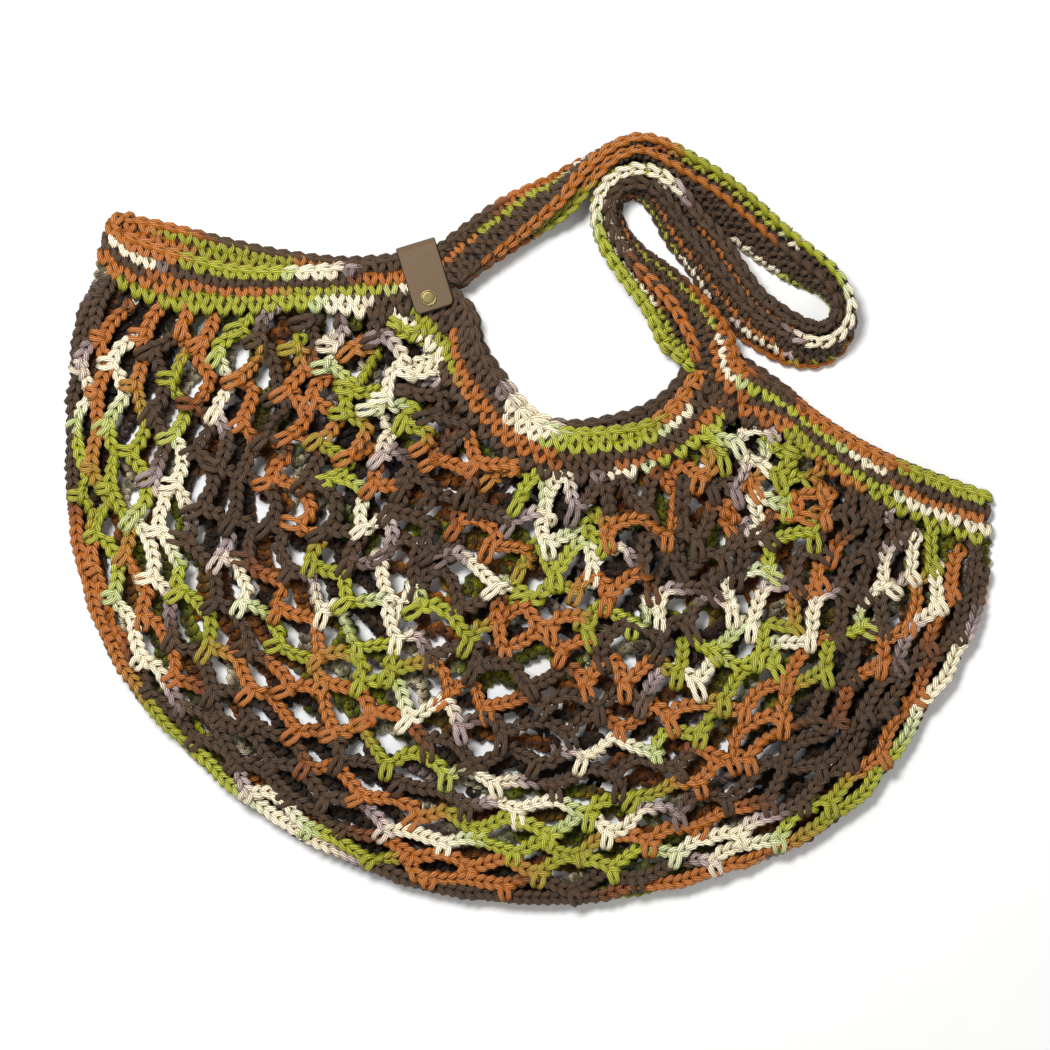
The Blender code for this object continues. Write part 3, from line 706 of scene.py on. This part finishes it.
def add_net_chain(halves, path, phases, up, rng):
    """The zigzag chain of one row with a strand behind it, split between the two halves of the side."""
    rows = smooth_rows(np.column_stack((path, phases)), CHAIN_STEPS)
    path, phases = rows[:, :3], rows[:, 3]
    count = len(path)
    turned_at = np.arange(0, count + CHAIN_TURN_STEPS, CHAIN_TURN_STEPS)
    turns = np.interp(np.arange(count), turned_at, rng.normal(size=len(turned_at)) * CHAIN_TURN)
    across = np.cross(up, unit(np.gradient(path, axis=0)))
    ups = up * np.cos(turns)[:, None] + across * np.sin(turns)[:, None]
    middle = np.argmax(path[:, 0] > 0) if path[-1, 0] > 0 else count
    for yarn, part in ((halves[0], slice(0, middle + 1)), (halves[1], slice(middle, count))):
        if len(path[part]) >= SHORTEST_CHAIN:
            links = add_chain(yarn, path[part], ups[part], phases[part], LINK_PITCH, *NET_LINK)
            origins, upward, at = links
            yarn.add_strand(origins - CORE_DEPTH * upward, CORE_YARN, upward, at, CORE_OPENNESS)


def make_net(side, material, rng):
    """One side's net, as a left and a right piece."""
    halves = (Yarn(), Yarn())
    patch = NetPatch(side)
    for row in range(NET_ROWS):
        brown_at, repeat = FRONT_NET_YARN[row]
        if side == BACK:
            brown_at = rng.uniform(0, BACK_NET_REPEAT)
            repeat = BACK_NET_REPEAT * (1 - 2 * (row % 2))
        add_row(halves, patch, row, brown_at, repeat, rng)
    name = f"net_{SIDE_NAMES[side]}"
    return [halves[0].build(f"{name}_left", material), halves[1].build(f"{name}_right", material)]


def run_phases(runs):
    """Places along a row and the yarn's phase there. The runs follow the yarn's order or go back in it."""
    runs = list(zip(runs[::2], runs[1::2]))
    places, phases = [], []
    turns, start, onward = 0, 0.0, True
    for i, (colour, end) in enumerate(runs):
        low, high = BANDS[colour]
        blend = min(BLEND_LENGTH, BLEND_SHARE * (end - start))
        places += [start + blend, end - blend]
        phases.append(turns + (low if onward else high))
        following = runs[min(i + 1, len(runs) - 1)][0]
        onward = (following - colour) % len(BANDS) < 2
        phases.append(turns + (high if onward else low))
        if onward and following < colour:
            turns += 1
        if not onward and following > colour:
            turns -= 1
        start = end
    return np.array(places), np.array(phases)


def table_phases(table, lead=0.0):
    """Function that gives a row's phases at lengths along the ribbon. Row -1 and row ROWS are the edges."""
    rows = [run_phases(runs) for runs in table]

    def phases(row, along):
        places, values = rows[row + 1]
        return np.interp(along - lead, places, values)

    return phases


def ribbon(a_edge, b_edge, normals, pitch):
    """A ribbon's stations, at each stitch and between them: a edge, b edge, normal and length along it."""
    along = lengths_along((a_edge + b_edge) / 2)
    count = round(along[-1] / pitch)
    wanted = np.linspace(0, along[-1], STATIONS * count + 1)
    a_edge = points_at(a_edge, along, wanted)
    b_edge = points_at(b_edge, along, wanted)
    return a_edge, b_edge, unit(points_at(normals, along, wanted)), wanted


def stitch_count(stations):
    return (len(stations[0]) - 1) // STATIONS


def part_of(stations, start, end):
    """Stations of a ribbon from one stitch to another."""
    return tuple(values[STATIONS * start : STATIONS * end + 1] for values in stations)


def add_ribbon(yarn, stations, half_thickness, radius, row_phases, rng, both_edges=False, skipped=0):
    """Rows of single crochet from the b edge to the a edge, with a chain along the a edge or along both."""
    a_edge, b_edge, normals, along = stations
    count = stitch_count(stations)
    pitch = (along[-1] - along[0]) / count
    inset = EDGE_INSET / np.linalg.norm(a_edge - b_edge, axis=1, keepdims=True)
    a_side = a_edge + (b_edge - a_edge) * inset
    b_side = b_edge + (a_edge - b_edge) * inset * both_edges
    forwards = (a_side - b_side) / ROWS
    sideways = unit(np.gradient((a_edge + b_edge) / 2, axis=0)) * pitch
    for row in range(ROWS):
        share = (row + 0.5) / ROWS
        line = b_side * (1 - share) + a_side * share
        picked = np.arange(count) * STATIONS + 1 + 2 * (row % 2)
        ways = (line[picked], forwards[picked], sideways[picked], normals[picked])
        add_stitches(yarn, ways, half_thickness, radius, row_phases(row, along[picked]), rng)
    outward = unit(a_edge - b_edge)
    edges = [(a_side, outward, ROWS, slice(skipped, None))]
    if both_edges:
        edges.append((b_side, -outward, -1, slice(0, len(along) - EDGE_TAIL)))
    for edge, out, row, kept in edges:
        path = (edge + out * EDGE_OUT + normals * EDGE_RAISED)[kept]
        ups = unit(normals * EDGE_UPWARD + out)[kept]
        phases = row_phases(row, along)[kept]
        add_chain(yarn, path, ups, phases, pitch, *EDGE_LINK)


def add_stitches(yarn, ways, half_thickness, radius, phases, rng):
    """A row of single crochet on both faces of a ribbon."""
    line, forwards, sideways, normals = ways
    count = len(line)
    for face in (1, -1):
        up = normals * face
        across = sideways * rng.uniform(*STITCH_WIDTHS, (count, 1))
        across = across + unit(forwards) * rng.normal(size=(count, 1)) * STITCH_SLANT
        origins = line + rng.normal(size=(count, 3)) * STITCH_UNEVEN
        height = up * half_thickness
        centres = placed(STITCH, origins + STITCH_RISE * height, forwards, across, STITCH_HEIGHT * height)
        yarn.add(centres, radius, up[:, None], phases[:, None])


def add_corner(yarn, front, back):
    """The chained edge where it goes round the left corner, from the front edge to the back one."""
    path = smooth_rows(np.vstack((front[None], CORNER_BEND, back[None])), CURVE_STEPS)
    ups = UP + left_of(unit(np.gradient(path, axis=0))) * CORNER_LEAN
    phases = np.full(len(path), CORNER_PHASE)
    add_chain(yarn, path, ups, phases, OUTER_STITCH * CORNER_PITCH, *EDGE_LINK)


def rim_edges(side, rows):
    """The rim's edge at the mouth and its edge at the net, for some rows of its table."""
    table = smooth_rows(RIM_ROWS[rows], BAND_STEPS)
    top, low, peek, level = table[:, 0:2], table[:, 2:4], table[:, 4:5], table[:, 5]
    if side == FRONT:
        level = level - RIM_LOWERED
    else:
        level = np.full_like(level, BACK_RIM_LEVEL + BACK_RIM_RAISED)
        upward = unit(top - low)
        top = top + upward * peek
        low = low + upward * peek
    return np.column_stack((top, level)), np.column_stack((low, level))


def handle_edges(side):
    """The handle's outer edge, hole edge and normal. It rests on its lowest edge, plus its lift."""
    rows = smooth_rows(HANDLE_SECTIONS, BAND_STEPS)
    edge = flat(rows[:, 0:2], 0.0)
    roll = np.radians(rows[:, 2:3])
    nest = rows[:, 3:4]
    lift = np.clip(rows[:, 4], 0, 1)
    left = left_of(unit(np.gradient(edge, axis=0)))
    across = (np.cos(roll) * left - np.sin(roll) * UP) * HANDLE_WIDTH / 2
    normal = np.cos(roll) * UP + np.sin(roll) * left
    reach = np.abs(across[:, 2]) + np.abs(normal[:, 2]) * HANDLE_THICKNESS / 2
    if side == BACK:
        edge = edge - left * nest
        lift = 0.0
    middle = edge + across
    middle[:, 2] = reach + lift * (FRONT_RIM_LEVEL - BACK_RIM_LEVEL) + HANDLE_CLEARANCE
    return middle + across, middle - across, normal


def outer_ribbon(side):
    """Left rim, handle and right rim as one ribbon, and the stitches where the handle starts and ends."""
    left_top, left_low = rim_edges(side, LEFT_RIM_ROWS)
    right_top, right_low = rim_edges(side, RIGHT_RIM_ROWS)
    outer, hole, normal = (values[: -HANDLE_TAIL[side]] for values in handle_edges(side))
    turn = np.array(RIGHT_TURN[side], float)
    level = left_top[-1, 2]
    a_edge = np.vstack((left_top, outer, flat(turn[:, 0:2], level), right_top))
    b_edge = np.vstack((left_low, hole, flat(turn[:, 2:4], level), right_low))
    after_handle = len(turn) + len(right_top)
    normals = np.vstack((*[UP] * len(left_top), normal, *[UP] * after_handle))
    stations = ribbon(a_edge, b_edge, normals, OUTER_STITCH)
    along = lengths_along((a_edge + b_edge) / 2)
    pitch = along[-1] / stitch_count(stations)
    handle_start = round(along[len(left_top)] / pitch)
    handle_end = round(along[len(a_edge) - after_handle] / pitch)
    return stations, handle_start, handle_end


def middle_ribbon(side):
    """The rim along the handle hole, whose ends lie under the outer ribbon."""
    top, low = rim_edges(side, MIDDLE_RIM_ROWS)
    start = np.array(MIDDLE_START, float)
    end = np.array((MIDDLE_END,), float)
    level = top[0, 2] - (UNDERLAP if side == FRONT else 0.0)
    a_edge = np.vstack((flat(start[:, 0:2], level), top, flat(end[:, 0:2], level)))
    b_edge = np.vstack((flat(start[:, 2:4], level), low, flat(end[:, 2:4], level)))
    return ribbon(a_edge, b_edge, np.array([UP] * len(a_edge)), RIM_STITCH)


def make_bands(side, material, rng):
    """One side's rim and handle."""
    rim, handle = Yarn(), Yarn()
    stations, handle_start, handle_end = outer_ribbon(side)
    left = part_of(stations, 0, handle_start)
    handle_part = part_of(stations, handle_start, handle_end)
    right = part_of(stations, handle_end, stitch_count(stations))
    phases = table_phases(OUTER_RUNS[side])
    middle_phases = table_phases(MIDDLE_RUNS[side], MIDDLE_LEAD)
    add_ribbon(rim, left, RIM_HALF_THICKNESS, RIM_YARN, phases, rng, skipped=CORNER_STATIONS)
    add_ribbon(handle, handle_part, HANDLE_THICKNESS / 2, HANDLE_YARN, phases, rng, both_edges=True)
    add_ribbon(rim, right, RIM_HALF_THICKNESS, RIM_YARN, phases, rng)
    add_ribbon(rim, middle_ribbon(side), RIM_HALF_THICKNESS, RIM_YARN, middle_phases, rng)
    if side == FRONT:
        back_edge = outer_ribbon(BACK)[0][0]
        add_corner(rim, stations[0][CORNER_STATIONS], back_edge[CORNER_STATIONS])
    name = f"{SIDE_NAMES[side]}_yarn"
    return rim.build(f"rim_{name}", material), handle.build(f"handle_{name}", material)


def mesh_piece(name, points, faces, material):
    mesh = bpy.data.meshes.new(name)
    mesh.from_pydata([tuple(np.array(point) * MM) for point in points], [], faces)
    return add_piece(name, mesh, material)


def ring_faces(rings, size):
    """Quads between rings of points that follow each other in one list."""
    faces = []
    for i in range(rings - 1):
        for j in range(size):
            k = (j + 1) % size
            faces.append((i * size + j, i * size + k, (i + 1) * size + k, (i + 1) * size + j))
    return faces


def tag_place(down, along):
    """Place on the tag's plan, from the middle of its fold."""
    x, y = TAG_TOP_MIDDLE
    return (
        x + along * math.cos(TAG_TURN) + down * math.sin(TAG_TURN),
        y + along * math.sin(TAG_TURN) - down * math.cos(TAG_TURN),
    )


def tag_flap(length, level, turn):
    """Stations of a flap from its rounded end."""
    found = []
    for to_end in TAG_STEPS:
        inside = max(TAG_CORNER_RADIUS - to_end, 0.0)
        half_width = TAG_WIDTH / 2 - TAG_CORNER_RADIUS + math.sqrt(TAG_CORNER_RADIUS**2 - inside**2)
        found.append((length - to_end, level, half_width, np.interp(to_end, *TAG_END_THICKNESS), turn))
    return found


def tag_stations():
    """Stations along the strip, from the end of the front flap round the fold to the end of the back one.

    Each has its down position, level, half width, share of the thickness and the turn of its face.
    """
    fold = []
    for angle in np.linspace(0, math.pi, TAG_FOLD_STEPS):
        down = TAG_BEND * (1 - math.sin(angle))
        fold.append((down, TAG_FOLD_LEVEL + TAG_BEND * math.cos(angle), TAG_WIDTH / 2, 1.0, angle))
    front = tag_flap(TAG_FRONT_LENGTH, TAG_FOLD_LEVEL + TAG_BEND, 0.0)
    back = tag_flap(TAG_BACK_LENGTH, TAG_FOLD_LEVEL - TAG_BEND, math.pi)
    return front + fold + back[::-1]


def make_tag(material):
    """The bare leather strip with rounded, burnished edges, folded over the rim."""
    side = [(-1, inset, height) for inset, height in TAG_SIDE]
    side += [(1, inset, height) for inset, height in reversed(TAG_SIDE)]
    side += [(1, inset, -height) for inset, height in TAG_SIDE[1:]]
    side += [(-1, inset, -height) for inset, height in reversed(TAG_SIDE[1:])]
    size = len(side)
    stations = tag_stations()
    points, edges = [], []
    for i, (down, level, half_width, thickness, turn) in enumerate(stations):
        at_end = min(i, len(stations) - 1 - i) < BURNISHED_STATIONS
        for sign, inset, height in side:
            height *= thickness
            x, y = tag_place(down - height * math.sin(turn), sign * (half_width - inset))
            points.append((x, y, level + height * math.cos(turn)))
            edges.append(float(at_end or inset < BURNISHED_INSET))
    faces = ring_faces(len(stations), size)
    faces.append(tuple(range(size)))
    faces.append(tuple(reversed(range(len(points) - size, len(points)))))
    piece = mesh_piece("tag_strip", points, faces, material)
    set_attribute(piece.data, "edge", edges)
    return piece


def make_rivet(material):
    """Cap with a raised rim, post and back, turned about one axis."""
    seat = TAG_FOLD_LEVEL + TAG_BEND + TAG_THICKNESS / 2
    back = TAG_FOLD_LEVEL - TAG_BEND - TAG_THICKNESS / 2
    cap = [*smooth_rows(RIVET_CAP[1:-1], RIVET_CAP_STEPS), RIVET_CAP[-1]]
    profile = [(r, seat + z) for r, z in cap] + [(r, back + z) for r, z in RIVET_BACK[:-1]]
    x, y = tag_place(RIVET_FROM_FOLD, -RIVET_TO_SIDE)
    turns = [2 * math.pi * i / RIVET_STEPS for i in range(RIVET_STEPS)]
    points = [(x + r * math.cos(turn), y + r * math.sin(turn), z) for r, z in profile for turn in turns]
    faces = ring_faces(len(profile), RIVET_STEPS)
    top, bottom = len(points), len(points) + 1
    points += [(x, y, seat + RIVET_CAP[0][1]), (x, y, back + RIVET_BACK[-1][1])]
    last = (len(profile) - 1) * RIVET_STEPS
    for j in range(RIVET_STEPS):
        k = (j + 1) % RIVET_STEPS
        faces.append((top, k, j))
        faces.append((bottom, last + j, last + k))
    piece = mesh_piece("rivet_cap", points, [tuple(reversed(face)) for face in faces], material)
    ring = [float(math.hypot(point[0] - x, point[1] - y) > RIVET_FACE) for point in points]
    set_attribute(piece.data, "ring", ring)
    return piece


class Paint:
    """A node material in the making. Inputs are numbers, colours or the outputs of other nodes."""

    def __init__(self, name):
        self.material = bpy.data.materials.new(name)
        self.material.use_nodes = True
        self.nodes = self.material.node_tree.nodes
        self.links = self.material.node_tree.links
        self.shader = self.nodes["Principled BSDF"]

    def put(self, socket, value):
        if isinstance(value, bpy.types.NodeSocket):
            self.links.new(value, socket)
        else:
            socket.default_value = value

    def fill(self, node, **named):
        """The node, with inputs by name."""
        for name, value in named.items():
            self.put(node.inputs[name.replace("_", " ")], value)
        return node

    def node(self, kind, *values, operation=None, **named):
        """A new node, with its first inputs in their order and others by name."""
        node = self.nodes.new("ShaderNode" + kind)
        if operation:
            node.operation = operation
        for socket, value in zip(node.inputs, values):
            self.put(socket, value)
        return self.fill(node, **named)

    def math(self, operation, *values):
        return self.node("Math", *values, operation=operation).outputs[0]

    def attribute(self, name):
        node = self.node("Attribute")
        node.attribute_name = name
        return node.outputs["Fac"]

    def noise(self, scale):
        place = self.node("TexCoord").outputs["Object"]
        return self.node("TexNoise", Vector=place, Scale=scale).outputs[0]

    def spread(self, value, to, start=0.0, end=1.0):
        """The value, which goes from start to end, spread over the range in to."""
        ranges = {"From_Min": start, "From_Max": end, "To_Min": to[0], "To_Max": to[1]}
        return self.node("MapRange", value, **ranges).outputs[0]

    def ramp(self, value, stops):
        """Colours at their places along the value."""
        node = self.node("ValToRGB", value)
        elements = node.color_ramp.elements
        elements.remove(elements[-1])
        for i, (place, colour) in enumerate(stops):
            element = elements[0] if i == 0 else elements.new(place)
            element.position = place
            element.color = colour
        return node.outputs[0]

    def scaled(self, colour, share):
        return self.node("VectorMath", colour, operation="SCALE", Scale=share).outputs[0]

    def bump(self, height, strength, distance):
        node = self.node("Bump", Height=height, Strength=strength, Distance=distance * MM)
        self.fill(self.shader, Normal=node.outputs[0])

    def finish(self, colour, **values):
        """The material, with its colour and the shader's other values."""
        self.fill(self.shader, Base_Color=colour, **values)
        return self.material


def linear(colour):
    """Scene colour of an sRGB colour given in 0 to 255."""
    found = []
    for value in colour:
        value /= 255
        found.append(value / 12.92 if value <= 0.04045 else ((value + 0.055) / 1.055) ** 2.4)
    return (*found, 1.0)


# Places in the yarn's repeat and the colours there, in sRGB
YARN_COLOURS = (
    (0.00, (182, 108, 48)), (0.19, (186, 115, 54)), (0.23, (174, 130, 54)), (0.27, (160, 158, 48)),
    (0.41, (176, 178, 60)), (0.44, (198, 206, 150)), (0.475, (252, 240, 208)), (0.56, (250, 234, 200)),
    (0.60, (182, 160, 158)), (0.64, (88, 66, 47)), (0.80, (77, 58, 41)), (0.94, (86, 63, 43)),
    (0.97, (130, 76, 38)),
)
FIBRE_SCALE = 260.0
PLY_TOP = 0.95  # share of a ply's height above which it is no brighter
PLY_BUMP = (0.9, 0.35)  # strength and height in millimetres
# Brightness of the yarn's colour: painted shade between two plies and painted highlight on a ply, random
# tone among fibres, and painted shade deep in a loop and painted light on top of it
PLY_BRIGHTNESS = (0.24, 1.17)
FIBRE_BRIGHTNESS = (0.8, 1.2)
OPEN_BRIGHTNESS = (0.1, 1.06)
OPEN_SATURATION = (1.45, 0.99)  # saturation deep in a loop, where shade is painted in richer colour, and on top of it
DEEP_AND_OPEN = (0.1, 0.9)  # openness at which these two are reached

LEATHER_COLOURS = ((92, 72, 50), (108, 86, 61))
LEATHER_BRIGHTNESS = (1.0, 0.12)  # on the faces and on the burnished edges
GRAIN_SCALE = 900.0
GRAIN_BUMP = (0.3, 0.1)
BRASS_COLOURS = ((62, 57, 36), (98, 89, 56))
BRASS_BRIGHTNESS = (1.0, 5.5)  # on the face, and on the ring, where it is a painted highlight
WEAR_SCALE = 500.0
FLOOR_COLOURS = ((0.86, 0.86, 0.85, 1.0), (0.88, 0.88, 0.87, 1.0))
PAPER_SCALE = 40.0


def yarn_material(name):
    """Variegated cotton: the colour follows the yarn, with plies, fibres and a dull sheen, and painted shade
    between plies and deep between strands.
    """
    paint = Paint(name)
    stops = [(place, linear(colour)) for place, colour in YARN_COLOURS]
    stops.append((1.0, stops[0][1]))
    colour = paint.ramp(paint.math("FRACT", paint.attribute("yarn_at")), stops)

    uv = paint.node("UVMap")
    uv.uv_map = "yarn"
    parts = paint.node("SeparateXYZ", uv.outputs[0])
    turn = paint.math("MULTIPLY_ADD", parts.outputs[0], 1 / PLY_TWIST, parts.outputs[1])
    wave = paint.math("SINE", paint.math("MULTIPLY", turn, math.pi * PLIES))
    ply = paint.math("ABSOLUTE", wave)
    paint.bump(ply, *PLY_BUMP)

    # Painted shade: darker deep between strands and at a loop's bottom, lighter on top, and richer in colour
    # where darkest
    openness = paint.attribute("openness")
    # Painted shade between the plies and painted highlight on each ply
    painted_ply_light = paint.spread(ply, PLY_BRIGHTNESS, end=PLY_TOP)
    fibres = paint.spread(paint.noise(FIBRE_SCALE), FIBRE_BRIGHTNESS)
    light = paint.spread(openness, OPEN_BRIGHTNESS, *DEEP_AND_OPEN)
    shade = paint.math("MULTIPLY", paint.math("MULTIPLY", painted_ply_light, fibres), light)
    painted_shade_saturation = paint.spread(openness, OPEN_SATURATION, *DEEP_AND_OPEN)
    coloured = paint.node("HueSaturation", Saturation=painted_shade_saturation, Color=paint.scaled(colour, shade))
    return paint.finish(coloured.outputs[0], Roughness=0.62, Sheen_Weight=0.05, Specular_IOR_Level=0.3)


def two_colours(paint, value, colours):
    return paint.ramp(value, ((0.0, colours[0]), (1.0, colours[1])))


def leather_material():
    """Smooth brown leather with a fine grain and dark burnished edges."""
    paint = Paint("tag_leather")
    grain = paint.noise(GRAIN_SCALE)
    colour = two_colours(paint, grain, [linear(colour) for colour in LEATHER_COLOURS])
    burnish = paint.spread(paint.attribute("edge"), LEATHER_BRIGHTNESS)
    paint.bump(grain, *GRAIN_BUMP)
    return paint.finish(paint.scaled(colour, burnish), Roughness=0.62, Specular_IOR_Level=0.3)


def brass_material():
    """Tarnished brass, with a painted highlight on the cap's ring."""
    paint = Paint("rivet_brass")
    colour = two_colours(paint, paint.noise(WEAR_SCALE), [linear(colour) for colour in BRASS_COLOURS])
    # The cap's ring is made brighter: a painted highlight
    painted_ring_highlight = paint.spread(paint.attribute("ring"), BRASS_BRIGHTNESS)
    return paint.finish(paint.scaled(colour, painted_ring_highlight), Metallic=1.0, Roughness=0.32)


def floor_material():
    """Pale paper."""
    paint = Paint("pale_floor")
    return paint.finish(two_colours(paint, paint.noise(PAPER_SCALE), FLOOR_COLOURS), Roughness=0.9)


def make_floor():
    half = FLOOR_SIZE / 2
    corners = [(-half, -half, 0), (half, -half, 0), (half, half, 0), (-half, half, 0)]
    mesh_piece("floor", corners, [(0, 1, 2, 3)], floor_material())


def make_camera():
    """Camera straight over the bag, as in the photograph."""
    data = bpy.data.cameras.new("camera")
    data.sensor_width = SENSOR_WIDTH
    data.lens = SENSOR_WIDTH * (CAMERA_PLACE[2] - BAG_MIDDLE_HEIGHT) / PHOTO_WIDTH
    data.clip_end = FARTHEST_VIEW
    camera = add_object("camera", data)
    camera.location = [value * MM for value in CAMERA_PLACE]
    bpy.context.scene.camera = camera


def make_light(name, place, size, power):
    """Round soft light that faces the middle of the bag."""
    data = bpy.data.lights.new(name, "AREA")
    data.shape = "DISK"
    data.size = size
    data.energy = power
    light = add_object(name, data)
    light.location = place
    x, y, z = place
    light.rotation_euler = (math.atan2(math.hypot(x, y), z), 0.0, math.atan2(-x, y))


def make_studio():
    make_floor()
    make_camera()
    make_light("key", *KEY_LIGHT)
    make_light("fill", *FILL_LIGHT)
    world = bpy.data.worlds.new("studio")
    world.use_nodes = True
    background = world.node_tree.nodes["Background"]
    background.inputs["Color"].default_value = (1.0, 1.0, 1.0, 1.0)
    background.inputs["Strength"].default_value = WORLD_LIGHT
    bpy.context.scene.world = world
    bpy.context.scene.view_settings.view_transform = "Standard"


def stand_for(piece, node):
    """The piece rides on the bag's one body and takes the place of a node."""
    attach(piece, "root")
    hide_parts(node)


def main():
    rng = np.random.default_rng(RANDOM_SEED)
    net_material = yarn_material("net_yarn")
    rim_material = yarn_material("rim_yarn")
    nets = {side: make_net(side, net_material, rng) for side in (FRONT, BACK)}
    bands = {side: make_bands(side, rim_material, rng) for side in (FRONT, BACK)}
    for piece in (*nets[FRONT], *nets[BACK]):
        stand_for(piece, "net_body")
    for side, name in SIDE_NAMES.items():
        for piece, part in zip(bands[side], ("rim", "handle")):
            stand_for(piece, f"{part}_{name}")
    tag = make_tag(leather_material())
    stand_for(tag, "tag")
    stand_for(make_rivet(brass_material()), "tag_rivet")
    make_studio()


main()
